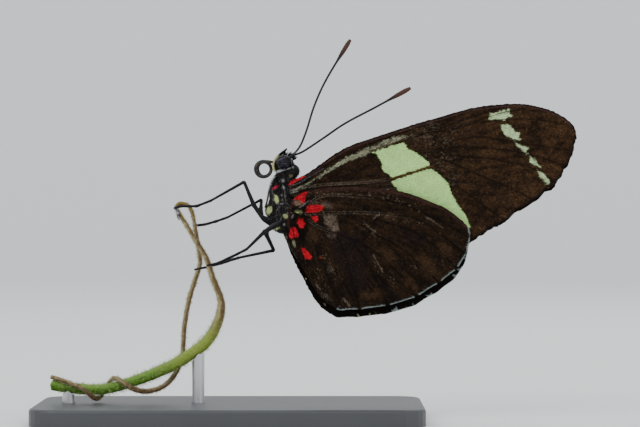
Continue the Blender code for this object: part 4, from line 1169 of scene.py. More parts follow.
def build_scales(name, plan, face, look, order):
    """One wing face covered in overlapping scales, each a small tongue that lies towards the margin."""
    w = settings("wings")
    rng = np.random.default_rng(w.seed + order)
    row = w.scale_row * (1.0 if face > 0 else INNER_GROWTH) * 1.0
    rim = wing_rim(plan, 0.3)
    roots = grid_inside(rim, row, 0.03, plan["lie"])
    roots = roots + rng.normal(0.0, 0.12 * row, roots.shape)
    away = roots - SCALE_CENTRE
    angle = np.arctan2(away[:, 1], away[:, 0]) + rng.normal(0.0, 0.16, len(roots))
    way, room = held_inside(plan, rim, roots, np.stack([np.cos(angle), np.sin(angle)], axis=1))
    size = row / w.scale_row * rng.uniform(0.85, 1.15, len(roots))
    size = np.clip(np.minimum(size, room / w.scale_length), 0.3, None)
    tip_tilt = rng.uniform(0.5, 1.7, len(roots))
    long = way * (w.scale_length * size)[:, None]
    wide = left_of(way) * (w.scale_width * size)[:, None]
    rows = []
    for along, beside, lift in SCALE_SHAPE:
        corner = roots + along * long + beside * wide
        rows.append(wing_surface(plan, corner, face, SCALE_LIFT + lift * tip_tilt))
    points = np.stack(rows, axis=1).reshape(-1, 3)
    base = np.arange(len(roots))[:, None] * len(SCALE_SHAPE)
    faces = np.concatenate([base + [0, 1, 3, 2], base + [2, 3, 5, 4]])
    if plan["side"] * face > 0:
        faces = faces[:, ::-1]
    tint = plan["under" if face > 0 else "upper"](plan, *(roots + 0.7 * long).T)
    spread = 0.32 - 0.24 * ramp(0.05, 0.3, tint.mean(axis=1))
    tint = tint * np.exp(spread * rng.normal(0.0, 1.0, len(roots))).clip(0.4, 2.6)[:, None]
    # Painted shade and highlight: each scale is darker at its root and lighter at its tip
    tints = (tint[:, None] * np.array(SCALE_PAINTED_LIGHT)[:, None]).reshape(-1, 3)
    u, v = ((roots - rim.min(axis=0)) / BAKE_SPAN + BAKE_EDGE).T
    piece = name + ("_scales" if face > 0 else "_inner_scales")
    make_mesh(
        piece, points, faces.tolist(), look, tints, baked=patch_map(u, v, SCALE_PATCH)
    )


def held_inside(plan, rim, roots, way):
    """Turns scales near a front or rear edge along it. Returns the ways and the room before the edge."""
    away, place = line_distance(looped(rim), *roots.T)
    near = np.rint(place * len(rim)).astype(int) % len(rim)
    out = out_of(rim)[near]
    on_margin = np.isin(near, margin_part(rim, plan["margin"]))
    outward = np.maximum(0.0, (way * out).sum(axis=1))
    turn = np.where(on_margin, 0.0, outward * (1.0 - ramp(0.05, 0.6, away)))
    way = unit(way - out * turn[:, None])
    outward = np.maximum(0.08, (way * out).sum(axis=1))
    return way, (away + np.where(on_margin, 0.08, 0.01)) / outward


def build_fringe(name, plan, look):
    """Hair scales along the outer margin."""
    w = settings("wings")
    rng = np.random.default_rng(w.seed + 99)
    rim = wing_rim(plan, 0.035)
    part = margin_part(rim, plan["margin"])
    rim, out = rim[part], out_of(rim)[part]
    count = len(rim)
    angle = rng.normal(0.0, 0.16, count)[:, None]
    flat_way = out * np.cos(angle) + left_of(out) * np.sin(angle)
    roots = wing_surface(plan, rim - out * FRINGE_ROOT, 0.0, 0.0)
    ways = turned(plan, rim - out * FRINGE_ROOT + flat_way) - roots[:, [0, 2]]
    roots[:, 1] += rng.normal(0.0, 0.03, count)
    ways = np.insert(ways, 1, rng.normal(0.0, 0.1, count), axis=1)
    outs = tiled((0.0, plan["side"], 0.0), count)
    lengths = FRINGE_ROOT + w.fringe_length * rng.uniform(0.7, 1.0, count)
    pale = fringe_share(plan, *rim.T) > rng.uniform(0.2, 0.7, count)
    tint = mixed(tiled(shade("fringe_dark"), count), colour("wings", "fringe"), pale.astype(float))
    u, v = ((rim - rim.min(axis=0)) / BAKE_SPAN + BAKE_EDGE).T
    hair = roots, ways, outs, lengths, np.full(count, FRINGE_WIDTH)
    make_hairs(name + "_fringe", hair, 0.06, u, v, tint, look)


# Body


def body_marks(tint, x, z, share):
    """The body's pale and red spots over another tint, where share is above zero."""
    names = {n: colour("body", n) for n in ("white", "yellow", "dull", "red", "grey", "lilac")}
    rough = 0.05 * cloud(x, z, 0.16, 51)
    for mx, mz, long, wide, degrees, name in BODY_MARKS:
        here = ramp(-0.06, 0.14, oval(x, z, mx, mz, long, wide, degrees) + rough) * share
        if name == "yellow" and long > 0.6:
            here = here * (1.0 - 0.75 * ramp(0.1, 0.5, cloud(x * 3.0 + z, z, 0.42, 50)))
        tint = mixed(tint, names[name], here)
    return tint


def body_tint(points):
    x, y, z = points.T
    ground = colour("body", "ground") * (1.0 + 0.5 * cloud(x + y, z, 0.5, 52))[:, None]
    # Painted sheen: random paler blotches over the body's dark ground
    ground = mixed(ground, shade("body_sheen"), 0.4 * ramp(0.4, 0.95, cloud(x - y, z, 0.22, 53)))
    share = ramp(0.15, 0.5, np.abs(y))
    tint = body_marks(ground, x, z, share)
    tint = mixed(tint, 1.5 * colour("body", "white"), ramp(-0.04, 0.05, stroke_depth(EYE_LINE, x, z)) * share)
    belly = ramp(0.35, 0.9, cloud(x, z, 0.7, 54)) * (z < 27.0)
    return mixed(tint, shade("belly"), 0.35 * belly)


def body_shapes():
    """Centre, radii and lean of the rounded masses that the body's skin is drawn over."""
    shapes = [
        (THORAX_CENTRE, tuple(0.95 * r for r in THORAX_RADII), THORAX_TILT),
        (HEAD_CENTRE, (1.3, 0.9, 1.32), 0.0),
        ((8.9, 0.0, 36.1), (1.17, 1.4, 1.08), 0.0),
        ((6.95, 0.0, 36.9), (0.6, 0.6, 0.9), 0.0),
        ((7.5, 0.0, 35.95), (0.9, 0.95, 0.45), 0.0),
        ((8.1, 0.0, 35.2), (1.3, 1.2, 1.0), 0.0),
        ((7.1, 0.0, 34.3), (1.0, 1.0, 1.3), 24.0),
        ((8.4, 0.0, 29.2), (1.9, 1.5, 1.6), 0.0),
    ]
    for side in (-1.0, 1.0):
        shapes += [
            ((6.4, side * 1.0, 29.0), (0.75, 0.7, 0.95), 0.0),
            ((7.4, side * 1.2, 28.6), (0.8, 0.7, 0.8), 0.0),
            ((6.45, side * 0.75, 33.2), (0.66, 0.65, 1.7), 10.0),
            ((5.9, side * 0.85, 30.5), (0.75, 0.75, 1.0), 20.0),
        ]
    for x, y, z, radius in smooth(ABDOMEN, 0.45):
        shapes.append(((x, y, z), (radius, radius, radius), 0.0))
    return shapes


def build_body_skin(look):
    """One skin over head, neck, thorax and abdomen. Returns its points, and the mesh with its faces."""
    bm = bmesh.new()
    for centre, radii, lean in body_shapes():
        made = bmesh.ops.create_uvsphere(bm, u_segments=28, v_segments=18, radius=1.0)
        bmesh.ops.scale(bm, vec=radii, verts=made["verts"])
        bmesh.ops.rotate(bm, matrix=Matrix.Rotation(math.radians(lean), 3, "Y"), verts=made["verts"])
        bmesh.ops.translate(bm, vec=centre, verts=made["verts"])
    mesh = bpy.data.meshes.new("body_masses")
    bm.to_mesh(mesh)
    bm.free()
    masses = add_object("body_masses", mesh)
    remesh = masses.modifiers.new("One skin", "REMESH")
    remesh.mode = "VOXEL"
    remesh.voxel_size = 0.1
    masses.modifiers.new("Soften", "SMOOTH").iterations = 8
    graph = bpy.context.evaluated_depsgraph_get()
    made = bpy.data.meshes.new_from_object(masses.evaluated_get(graph))
    bpy.data.objects.remove(masses, do_unlink=True)
    points = np.array([v.co for v in made.vertices])
    faces = [list(p.vertices) for p in made.polygons]
    place = line_distance(np.array(ABDOMEN)[:, [0, 2]], points[:, 0], points[:, 2])[1]
    belt = ramp(0.06, 0.16, place) * (points[:, 2] < 28.0)
    points[:, 1] *= 1.0 - 0.05 * belt * (1.0 - np.abs(np.sin(place * math.pi * ABDOMEN_RINGS))) ** 2
    nodes = ("head", "collar", "thorax", "abdomen")
    make_mesh("body_skin", points, faces, look, body_tint(points), replaces=nodes)
    return points, made


def scatter(points, mesh, count, rng):
    """Points spread evenly over a mesh by area, with the normal of each."""
    mesh.calc_loop_triangles()
    tris = np.empty(len(mesh.loop_triangles) * 3, np.int32)
    mesh.loop_triangles.foreach_get("vertices", tris)
    a, b, c = (points[tris.reshape(-1, 3)[:, k]] for k in range(3))
    cross = np.cross(b - a, c - a)
    area = np.linalg.norm(cross, axis=1)
    picked = rng.choice(len(area), count, p=area / area.sum())
    u, v = rng.uniform(size=(2, count))
    over = u + v > 1.0
    u, v = np.where(over, 1.0 - u, u), np.where(over, 1.0 - v, v)
    roots = a[picked] + u[:, None] * (b - a)[picked] + v[:, None] * (c - a)[picked]
    return roots, cross[picked] / area[picked][:, None]


def build_down(points, mesh, look):
    """Hair and hair-like scales over the body: they lie back along it, and away from the eye on the head."""
    b = settings("body")
    rng = np.random.default_rng(b.seed)
    roots, normals = scatter(points, mesh, b.down_count // (1), rng)
    from_eye = roots[:, [0, 2]] - (EYE_CENTRE[0], EYE_CENTRE[2])
    eye_reach = np.hypot(from_eye[:, 0] / EYE_RADII[0], from_eye[:, 1] / EYE_RADII[2])
    kept = ~((eye_reach < 0.97) & (np.abs(roots[:, 1]) > 0.5))
    roots, normals, from_eye = roots[kept], normals[kept], unit(from_eye[kept])
    count = len(roots)
    height = roots[:, 2]
    head = height > HEAD_START
    lie = tiled((0.15, 0.0, -1.0), count)
    lie[head] = np.insert(from_eye[head], 1, 0.0, axis=1)
    ways = lie - normals * (lie * normals).sum(axis=1)[:, None]
    ways += normals * rng.uniform(0.1, 0.5, count)[:, None] + rng.normal(0.0, 0.2, (count, 3))
    ways = unit(ways)
    lengths = b.down_length * rng.uniform(0.6, 1.2, count)
    lengths *= np.where(head, 0.7, 1.0) * np.where(height < 27.5, 0.8, 1.0)
    widths = rng.uniform(0.04, 0.07, count)
    tint = body_tint(roots + ways * (0.5 * lengths)[:, None])
    tint *= rng.normal(1.0, 0.25, count).clip(0.4, 1.7)[:, None]
    # Painted highlights: some of the dark hairs below the head turn grey, for light caught on the down
    highlit = (rng.uniform(size=count) < 0.14) & (tint.mean(axis=1) < 0.05) & (height < 35.3)
    tint[highlit] = np.array(shade("hair_highlight")) * rng.uniform(0.4, 1.3, highlit.sum())[:, None]
    for start, end in HEAD_TUFTS:
        long = float(np.linalg.norm(np.subtract(end, start)))
        roots = np.vstack([roots, rng.normal(start, 0.1, (TUFT_HAIRS, 3))])
        way = np.subtract(end, start) / long + rng.normal(0.0, 0.08, (TUFT_HAIRS, 3))
        ways = np.vstack([ways, way])
        normals = np.vstack([normals, tiled((0.0, -1.0, 0.0), TUFT_HAIRS)])
        lengths = np.append(lengths, long * rng.uniform(0.6, 1.05, TUFT_HAIRS))
        widths = np.append(widths, np.full(TUFT_HAIRS, 0.08))
        tint = np.vstack([tint, tiled(shade("tuft"), TUFT_HAIRS)])
    u = np.arctan2(roots[:, 1], roots[:, 0] - 8.5) / (2.2 * math.pi) + 0.5
    v = (roots[:, 2] - 17.0) / 24.0 + BAKE_EDGE
    hair = roots, ways, normals, lengths, widths
    make_hairs("body_down", hair, 0.12, u, v, tint, look)


def eye_tint(points):
    """Violet-grey eye, browner above, with the dark streaks seen in it, and painted light: highlight streaks
    and a glint, and painted shade that makes it black behind and darkens its outline.
    """
    x, _, z = points.T
    dx = (x - EYE_CENTRE[0]) / EYE_RADII[0]
    dz = (z - EYE_CENTRE[2]) / EYE_RADII[2]
    tint = colour("body", "eye") * (1.0 + 0.25 * cloud(x, z, 0.35, 55))[:, None]
    tint = mixed(tint, shade("eye_brow"), 0.8 * ramp(0.3, 0.75, dz))
    # Painted highlight: lighter lilac-grey streaks across the eye
    streaks = ramp(0.1, 0.55, cloud(x * 0.7 + z * 0.5, z * 1.6 - x * 0.6, 0.3, 57))
    tint = mixed(tint, shade("eye_highlight"), 0.8 * streaks)
    # Painted shade: the eye's back, turned away from the light, goes black
    tint = mixed(tint, shade("eye_black"), ramp(0.2, 0.7, dx + 0.15 * dz))
    # Painted glint: a small pale spot on the eye stands in for a reflection of the light
    tint = mixed(tint, shade("eye_glint"), 0.7 * ramp(-0.05, 0.08, oval(x, z, 7.15, 36.7, 0.16, 0.13, 0)))
    for streak in EYE_STREAKS:
        tint = mixed(tint, shade("eye_black"), 0.85 * ramp(-0.06, 0.06, stroke_depth(streak, x, z)))
    # Painted shade: the eye darkens towards its outline, where its surface turns away
    return mixed(tint, shade("eye_edge_shade"), 0.8 * ramp(0.86, 1.0, np.hypot(dx, dz)))


def build_eye(name, side, look):
    centre = (EYE_CENTRE[0], side * EYE_CENTRE[1], EYE_CENTRE[2])
    bm = bmesh.new()
    bmesh.ops.create_uvsphere(bm, u_segments=96, v_segments=64, radius=1.0)
    points = np.array([v.co for v in bm.verts]) * EYE_RADII + centre
    faces = [[v.index for v in f.verts] for f in bm.faces]
    bm.free()
    make_mesh(name + "_globe", points, faces, look, eye_tint(points), replaces=(name,))


def hairs_on(line, count, rng, length, width, stand):
    """Hairs rooted on a tube: what blades needs for them, then each root's share and angle."""
    way, across, over = ring_frames(line)
    along = shares(line)
    share = rng.uniform(0.02, 0.99, count)
    angle = rng.uniform(0.0, 2.0 * math.pi, count)
    near = np.clip(np.searchsorted(along, share), 1, len(line) - 1)
    t = (share - along[near - 1]) / (along[near] - along[near - 1])
    spot = line[near - 1] + (line[near] - line[near - 1]) * t[:, None]
    normals = across[near] * np.cos(angle)[:, None] + over[near] * np.sin(angle)[:, None]
    roots = spot[:, :3] + normals * (spot[:, 3] * 0.95)[:, None]
    ways = unit(way[near] * (1.0 - stand) + normals * stand + rng.normal(0.0, 0.18, (count, 3)))
    lengths = length * rng.uniform(0.6, 1.25, count)
    return (roots, ways, normals, lengths, np.full(count, width)), share, angle


def build_palp(name, side, look, coat):
    """A palp: pale up the front of the eye, then a black spike, clothed in hair."""
    rng = np.random.default_rng(settings("body").seed + 5)
    line = smooth([(x, side * y, z, r) for x, y, z, r in PALP], 0.1)
    points, faces, share, _ = tube(line, 14)
    tint = mixed(tiled(shade("palp"), len(points)), shade("palp_tip"), ramp(0.55, 0.68, share))
    make_mesh(name + "_skin", points, faces, look, tint, replaces=(name,))
    hair, share, angle = hairs_on(line, 700, rng, 0.14, 0.035, 0.12)
    tint = mixed(tiled(shade("palp_hair"), len(share)), shade("palp_tip"), ramp(0.52, 0.64, share))
    tint *= rng.normal(1.0, 0.12, len(share)).clip(0.6, 1.4)[:, None]
    make_hairs(name + "_hair", hair, 0.1, share * 0.9 + 0.05, angle / 7.0 + 0.05, tint, coat)


def build_proboscis(look):
    """The coiled tongue: from the face over the top, then round inwards to its pointed tip."""
    share = np.linspace(0.0, 1.0, 170)
    angle = np.radians(np.interp(share, (0.0, 1.0), PROBOSCIS_TURN))
    reach = np.interp(share, (0.0, 1.0), PROBOSCIS_COIL)
    x = PROBOSCIS_CENTRE[0] + PROBOSCIS_DRIFT[0] * share + reach * np.cos(angle)
    z = PROBOSCIS_CENTRE[1] + PROBOSCIS_DRIFT[1] * share + reach * np.sin(angle)
    y = -0.13 + 0.28 * ramp(0.3, 0.8, share)
    radius = np.interp(share, (0.0, 0.85, 1.0), (*PROBOSCIS_TUBE, 0.03))
    coil = np.stack([x, y, z, radius], axis=1)
    start = ((6.8, 0.0, 37.1, 0.2), (6.35, -0.05, 37.34, 0.19), (5.7, -0.12, 37.48, 0.19))
    line = np.vstack([smooth(start, 0.08), coil])

    def shape(share, angle):
        return 1.0 + 0.03 * np.sin(share * 520.0) - 0.06 * np.cos(2.0 * angle)

    points, faces, share, angle = tube(line, 16, shape)
    # Painted highlight: lighter grey-brown streaks along the coil's first turn only, so the inner turn stays
    # dark
    light = ramp(-0.1, 0.8, cloud(share * 40.0, angle * 1.5, 1.0, 56)) * (share < 0.6)
    tint = mixed(tiled(shade("tongue"), len(points)), shade("tongue_highlight"), 0.42 * light)
    make_mesh("proboscis_coil", points, faces, look, tint, replaces=("proboscis",))


def build_antenna(name, side, course, look):
    """A jointed shaft that thickens to a red-brown club."""
    last = len(course) - 2
    rows = []
    for i, (x, z) in enumerate(course):
        rows.append((x, side * (0.5 + ANTENNA_OUT * max(0, i - 1) / last), z, ANTENNA_SHAFT))
    line = smooth(rows, 0.09)
    along = shares(line)
    club = ramp(0.8, 0.93, along) * (1.0 - 0.5 * ramp(0.96, 1.0, along))
    line[:, 3] = ANTENNA_SHAFT + (ANTENNA_CLUB - ANTENNA_SHAFT) * club
    line[:, 3] += 0.1 * (1.0 - ramp(0.0, 0.05, along))

    def beads(share):
        return np.cos(share * 2.0 * math.pi * ANTENNA_JOINTS)

    points, faces, share, angle = tube(line, 14, lambda s, a: 1.0 + 0.06 * beads(s))
    horn = tiled(colour("body", "horn"), len(points))
    tint = mixed(horn, shade("shaft_light"), 0.35 * (0.5 - 0.5 * beads(share)))
    tint = mixed(tint, colour("body", "club"), ramp(0.83, 0.95, share + 0.03 * np.sin(angle)))
    make_mesh(name + "_shaft", points, faces, look, tint, replaces=(name,))


def leg_shape(joints, foot):
    """Radius along a leg: it swells at each joint, and its foot is beaded."""

    def shape(share, angle):
        swell = 0.0
        for joint in joints:
            swell = swell + 0.2 * np.exp(-(((share - joint) / 0.012) ** 2))
        beads = 0.14 * ramp(foot, foot + 0.02, share) * np.abs(np.sin((share - foot) * math.pi * 14.0))
        return 0.95 + swell + beads

    return shape


def leg_tint(points, share, top, pale):
    """Near black, with a painted highlight that makes it greyer above, most near its root. pale is 1 for a
    foreleg, whose upper half is white.
    """
    x, z = points[:, 0], points[:, 2]
    tint = colour("body", "leg") * (1.0 + 0.35 * cloud(x + points[:, 1], z, 0.25, 57))[:, None]
    # Painted highlight: greyer where the surface faces up, and more so near the leg's root
    tint = mixed(tint, shade("leg_top_highlight"), 0.4 * ramp(0.3, 0.95, top))
    tint = mixed(tint, shade("leg_root_highlight"), 0.45 * ramp(0.4, 0.95, top) * (1.0 - ramp(0.15, 0.3, share)))
    lower = ramp(0.3, 0.5, share) * (1.0 - 0.7 * ramp(0.8, 1.0, share))
    upper = ramp(0.26, 0.31, share) * (1.0 - ramp(0.5, 0.68, share))
    tint = mixed(tint, shade("foreleg"), pale * lower)
    return mixed(tint, colour("body", "white"), pale * upper)


def build_leg(name, line, joints, foot, look, coat, order, number, pale=0.0):
    """A leg with its joints, spurs and claws, and the bristles and flat scales on it."""
    rng = np.random.default_rng(settings("body").seed + order)
    points, faces, share, _ = tube(line, 16, leg_shape(joints, foot))
    along = shares(line)
    top = (points[:, 2] - np.interp(share, along, line[:, 2])) / np.interp(share, along, line[:, 3])
    parts = [(points, faces, leg_tint(points, share, top, pale))]
    way, across, over = ring_frames(line)
    thorns = ((foot - 0.01, 0.45, 0.9), (foot - 0.01, 0.45, 3.6), (0.985, 0.26, 0.8), (0.985, 0.26, 3.9))
    for place, length, turn in () if pale else thorns:
        i = int(np.searchsorted(along, place))
        out = across[i] * math.cos(turn) + over[i] * math.sin(turn)
        tip = line[i, :3] + way[i] * length * 0.8 + out * (line[i, 3] + 0.3 * length)
        start = line[i, :3] + out * line[i, 3] * 0.5
        t = np.linspace(0.0, 1.0, 6)[:, None]
        made = tube(np.hstack([start + (tip - start) * t, 0.045 * (1.0 - 0.8 * t)]), 8)
        parts.append((made[0], made[1], tiled(shade("claw"), len(made[0]))))
    points, faces, tints = joined(parts)
    make_mesh(name + "_skin", points, faces, look, tints, replaces=(name,))
    hair, share, angle = hairs_on(line, max(1, number), rng, 0.2 - 0.14 * pale, 0.035, 0.14)
    tint = leg_tint(hair[0], share, hair[2][:, 2], pale)
    tint = tint * rng.normal(1.1, 0.2, len(share)).clip(0.5, 1.8)[:, None]
    make_hairs(name + "_scales", hair, 0.1, 0.05 + 0.9 * share, 0.05 + angle / 7.2, tint, coat)


# Perch


def perch_tint(points, middle, share, fresh):
    """Green stem, yellower towards its dry end, with painted shade below and a painted highlight above; then
    a khaki strand with a brown groove down each face, painted on the side away from the light and so partly
    painted shade.
    """
    p = {n: colour("perch", n) for n in ("green", "shaded_green", "khaki", "brown", "cream")}
    out = unit(points - middle)
    x, z = points[:, 0], points[:, 2]
    grain = cloud(x * 1.3 + z, z - x, 0.35, 81)
    count = len(points)
    # Painted shade: deeper green on the stem's underside, broken up by grain
    green = mixed(tiled(p["green"], count), p["shaded_green"], ramp(-0.5, 0.9, grain - 0.9 * out[:, 2]))
    yellow = ramp(0.28, 0.5, share) * (0.75 + 0.25 * grain)
    green = mixed(green, p["khaki"], yellow)
    # Painted highlight: paler where the stem faces up and towards -x
    light = ramp(0.2, 0.95, out[:, 2] - 0.5 * out[:, 0] + 0.5 * grain)
    green = mixed(green, shade("stem_highlight"), 0.25 * light)
    # Groove and painted shade: the brown groove is painted on the side facing down and towards +x, away from
    # the light
    lower = 0.85 * out[:, 0] - 0.5 * out[:, 2] + 0.3 * cloud(x, z, 0.3, 82)
    groove_and_shade = ramp(-0.35, 0.2, lower) * (1.0 - 0.5 * ramp(0.7, 0.95, lower))
    dry = mixed(tiled(p["cream"], count), p["brown"], groove_and_shade)
    dry = mixed(dry, shade("groove_and_shade"), 0.6 * groove_and_shade * ramp(-0.1, 0.7, cloud(x * 1.5, z, 0.45, 83)))
    dry = mixed(dry, shade("ash"), 0.4 * ramp(0.2, 0.9, cloud(x, z, 1.1, 85)) * (1.0 - groove_and_shade))
    low = 1.0 - ramp(9.0, 20.0, z + 2.0 * (x + 2.0))
    dry = mixed(dry, shade("dry_low"), 0.6 * low * (0.6 + 0.4 * groove_and_shade))
    dry = mixed(dry, shade("dry_top"), 0.85 * ramp(28.0, 30.6, z) * ramp(-0.6, 0.6, out[:, 2] + 0.5))
    return mixed(green, dry, 1.0 - fresh)


def build_strand(name, path, fresh_ends, look, coat, nodes, hairs, order, withered=False):
    """A length of the plant: its skin and its fine hairs. A withered length is grey."""
    p = settings("perch")
    line = smooth(path, 0.16)

    def shape(share, angle):
        ribs = 0.05 * np.cos(5.0 * angle + share * 9.0)
        knots = (0.02 + 0.1 * min(order, 1)) * cloud(share * 90.0, angle * 1.3, 1.0, 84 + order)
        return 0.96 + ribs + knots

    points, faces, share, _ = tube(line, 22, shape)
    middle = np.stack([np.interp(share, shares(line), line[:, k]) for k in range(3)], axis=1)
    if withered:
        dark = ramp(-0.2, 0.6, cloud(points[:, 0], points[:, 2], 0.3, 86))
        tint = mixed(tiled(shade("withered"), len(points)), shade("withered_dark"), dark)
    else:
        tint = perch_tint(points, middle, share, 1.0 - ramp(*fresh_ends, share))
    make_mesh(name + "_skin", points, faces, look, tint, replaces=nodes)
    rng = np.random.default_rng(p.seed + order)
    count = hairs // 1
    (roots, ways, normals, lengths, widths), share, angle = hairs_on(
        line, count, rng, p.hair_length, 0.042, 0.72
    )
    fresh = 1.0 - ramp(*fresh_ends, share)
    hair = roots, ways, normals, lengths * (0.55 + 0.45 * fresh), widths * (1.2 - 0.1 * fresh)
    dry = mixed(tiled(shade("dry_hair"), count), shade("dry_hair_dark"), rng.uniform(0.0, 1.0, count))
    green = mixed(tiled(shade("stem_hair"), count), shade("stem_hair_dark"), rng.uniform(0.0, 1.0, count))
    tint = mixed(dry, green, fresh)
    make_hairs(name + "_hair", hair, 0.15, 0.03 + 0.93 * share, 0.05 + angle / 7.2, tint, coat)


# Operators


class BuildWings(bpy.types.Operator):
    """Builds the four wings: skins with raised veins, overlapping scales and fringes"""

    bl_idname = "longwing.build_wings"
    bl_label = "Wings"

    def execute(self, context):
        skin = tinted_material("wing skin", 0.8, 0.3, 0.02, 0.08)
        scales = tinted_material("wing scales", 0.7, 0.05, 0.004, 0.08, change=0.2)
        for order, (name, plan) in enumerate(WINGS.items()):
            build_membrane(name, plan, skin)
            build_scales(name, plan, 1.0, scales, order)
            build_scales(name, plan, -1.0, scales, 10 + order)
            build_fringe(name, plan, scales)
        return {"FINISHED"}


class BuildBody(bpy.types.Operator):
    """Builds the body's one skin and the down that covers it"""

    bl_idname = "longwing.build_body"
    bl_label = "Body"

    def execute(self, context):
        skin = tinted_material("body skin", 0.6, 0.12, 0.02, 0.1)
        down = tinted_material("body down", 0.55, 0.08, 0.004, 0.15)
        points, mesh = build_body_skin(skin)
        build_down(points, mesh, down)
        return {"FINISHED"}


class BuildHead(bpy.types.Operator):
    """Builds the eyes, the palps, the coiled proboscis and the antennae"""

    bl_idname = "longwing.build_head"
    bl_label = "Head"

    def execute(self, context):
        eye = eye_material("faceted eye")
        horn = tinted_material("horn", 0.42, 0.08, 0.006, 0.25)
        palp = tinted_material("palp skin", 0.7, 0.08, 0.01, 0.15)
        hair = tinted_material("palp hair", 0.65, 0.05, 0.004, 0.15)
        for name, side, course in (("left", -1.0, ANTENNA_NEAR), ("right", 1.0, ANTENNA_FAR)):
            build_eye("eye_" + name, side, eye)
            build_palp("palp_" + name, side, palp, hair)
            build_antenna("antenna_" + name, side, course, horn)
        build_proboscis(horn)
        return {"FINISHED"}


class BuildLegs(bpy.types.Operator):
    """Builds the four walking legs and the two folded forelegs, with scales, spurs and claws"""

    bl_idname = "longwing.build_legs"
    bl_label = "Legs"

    def execute(self, context):
        skin = tinted_material("leg skin", 0.5, 0.1, 0.012, 0.18)
        coat = tinted_material("leg scales", 0.6, 0.05, 0.004, 0.15)
        count = settings("body").bristles
        for order, (name, (foot, joints)) in enumerate(LEGS.items()):
            marks = shares(np.array(joints))
            line = jointed(joints, 0.08) * (1.0, 1.0, 1.0, LEG_WEIGHT)
            build_leg(name, line, marks[2:-1], marks[foot], skin, coat, order, count)
        for order, (name, side) in enumerate((("foreleg_left", -1.0), ("foreleg_right", 1.0))):
            line = smooth([(x, side * FORELEG_SIDE, z, 0.13) for x, z in FORELEG], 0.1)
            build_leg(name, line, (0.35,), 0.9, skin, coat, 10 + order, count, pale=1.0)
        return {"FINISHED"}


class BuildPerch(bpy.types.Operator):
    """Builds the cut length of stem and the tendril that loops back over it"""

    bl_idname = "longwing.build_perch"
    bl_label = "Perch"

    def execute(self, context):
        p = settings("perch")
        skin = tinted_material("plant skin", 0.6, 0.15, 0.03, 0.15)
        hair = tinted_material("plant hair", 0.5, 0.05, 0.002, 0.2)
        nodes = ("perch_stem", "perch_stem_upper")
        build_strand("stem", STEM, (0.5, 0.64), skin, hair, nodes, p.stem_hairs, 0)
        nodes = ["perch_tendril_" + part for part in ("loop", "fall", "bend", "coil")]
        dry = (-1.0, -0.9)
        build_strand("tendril", TENDRIL, dry, skin, hair, nodes, p.tendril_hairs, 1)
        nodes = ("perch_withered_tip",)
        build_strand("withered_tip", WITHERED_TIP, dry, skin, hair, nodes, 40, 2, True)
        return {"FINISHED"}


class FinishStand(bpy.types.Operator):
    """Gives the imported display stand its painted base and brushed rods"""

    bl_idname = "longwing.finish_stand"
    bl_label = "Stand"

    def execute(self, context):
        paint = painted_material("satin paint", shade("paint"), 0.42)
        steel = brushed_material("brushed steel", shade("steel"), 0.32)
        for name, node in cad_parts.items():
            if not name.startswith("stand_"):
                continue
            node.data.materials.clear()
            node.data.materials.append(paint if name == "stand_base" else steel)
        return {"FINISHED"}


class BuildStage(bpy.types.Operator):
    """Sets the pale floor and backdrop, the soft lights and the camera"""

    bl_idname = "longwing.build_stage"
    bl_label = "Stage"

    def execute(self, context):
        build_backdrop()
        s = settings("stage")
        add_light("key light", (-260.0, -420.0, 430.0), 420.0, s.key_power)
        add_light("fill light", (420.0, -330.0, 160.0), 420.0, s.fill_power)
        add_light("back light", (160.0, 330.0, 420.0), 320.0, s.back_power)
        world = context.scene.world or bpy.data.worlds.new("room light")
        context.scene.world = world
        world.use_nodes = True
        back = world.node_tree.nodes["Background"]
        back.inputs["Color"].default_value = (0.93, 0.96, 1.0, 1.0)
        back.inputs["Strength"].default_value = s.sky
        add_camera(context.scene)
        return {"FINISHED"}


def build_backdrop():
    """A pale floor that curves up into the wall behind."""
    made, tree, shader = new_material("pale paper", 0.85, 0.2)
    paper = two_tones(tree, grain_of(tree, 120.0, 3.0), (0.9, 0.905, 0.895), (0.93, 0.93, 0.92))
    feed(tree, shader, {"Base Color": paper})
    start, radius = BACKDROP_BEND
    profile = [(-1500.0, 0.0), (start, 0.0)]
    for degrees in range(10, 91, 10):
        angle = math.radians(degrees)
        profile.append((start + radius * math.sin(angle), radius * (1.0 - math.cos(angle))))
    profile.append((start + radius, 1800.0))
    points = [(x * MM, y * MM, z * MM) for y, z in profile for x in (-1800.0, 1800.0)]
    faces = [(2 * i, 2 * i + 1, 2 * i + 3, 2 * i + 2) for i in range(len(profile) - 1)]
    mesh = bpy.data.meshes.new("backdrop")
    mesh.from_pydata(points, [], faces)
    mesh.polygons.foreach_set("use_smooth", [True] * len(faces))
    mesh.materials.append(made)
    add_object("backdrop", mesh)


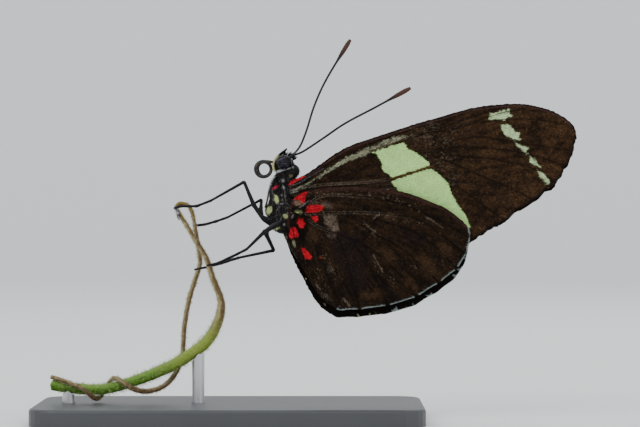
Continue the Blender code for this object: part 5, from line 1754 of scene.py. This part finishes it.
def add_light(name, place, size, power):
    light = bpy.data.lights.new(name, "AREA")
    light.size = size * MM
    light.energy = power
    lamp = add_object(name, light)
    lamp.location = Vector(place) * MM
    aim = Vector(LIGHT_AIM) * MM - lamp.location
    lamp.rotation_euler = aim.to_track_quat("-Z", "Y").to_euler()


def add_camera(scene):
    """A long lens level with the middle of the photo's frame."""
    lens = bpy.data.cameras.new("camera")
    lens.lens = VIEW_LENS
    lens.sensor_width = 36.0
    lens.clip_start = 0.01
    distance = VIEW_WIDTH * VIEW_LENS / lens.sensor_width
    camera = add_object("camera", lens)
    camera.location = Vector((VIEW_CENTRE[0], -distance, VIEW_CENTRE[1])) * MM
    camera.rotation_euler = (math.pi / 2.0, 0.0, 0.0)
    scene.camera = camera


STEPS = (BuildWings, BuildBody, BuildHead, BuildLegs, BuildPerch, FinishStand, BuildStage)
GROUPS = {"wings": LongwingWings, "body": LongwingBody, "perch": LongwingPerch, "stage": LongwingStage}


class LongwingPanel(bpy.types.Panel):
    """Lists the steps that build the butterfly, and their sizes and colours"""

    bl_idname = "VIEW3D_PT_longwing"
    bl_label = "Resting Longwing"
    bl_space_type = "VIEW_3D"
    bl_region_type = "UI"
    bl_category = "Longwing"

    def draw(self, context):
        for step in STEPS:
            self.layout.operator(step.bl_idname)
        for group in GROUPS:
            box = self.layout.box()
            box.label(text=group.capitalize())
            for key in GROUPS[group].__annotations__:
                box.prop(getattr(context.scene, "longwing_" + group), key)


def register():
    for group in GROUPS.values():
        bpy.utils.register_class(group)
    for step in STEPS:
        bpy.utils.register_class(step)
    bpy.utils.register_class(LongwingPanel)
    for key, group in GROUPS.items():
        setattr(bpy.types.Scene, "longwing_" + key, PointerProperty(type=group))


def unregister():
    for key in GROUPS:
        delattr(bpy.types.Scene, "longwing_" + key)
    bpy.utils.unregister_class(LongwingPanel)
    for step in reversed(STEPS):
        bpy.utils.unregister_class(step)
    for group in GROUPS.values():
        bpy.utils.unregister_class(group)


def main():
    register()
    for step in STEPS:
        area, name = step.bl_idname.split(".")
        getattr(getattr(bpy.ops, area), name)()


if __name__ == "__main__":
    main()
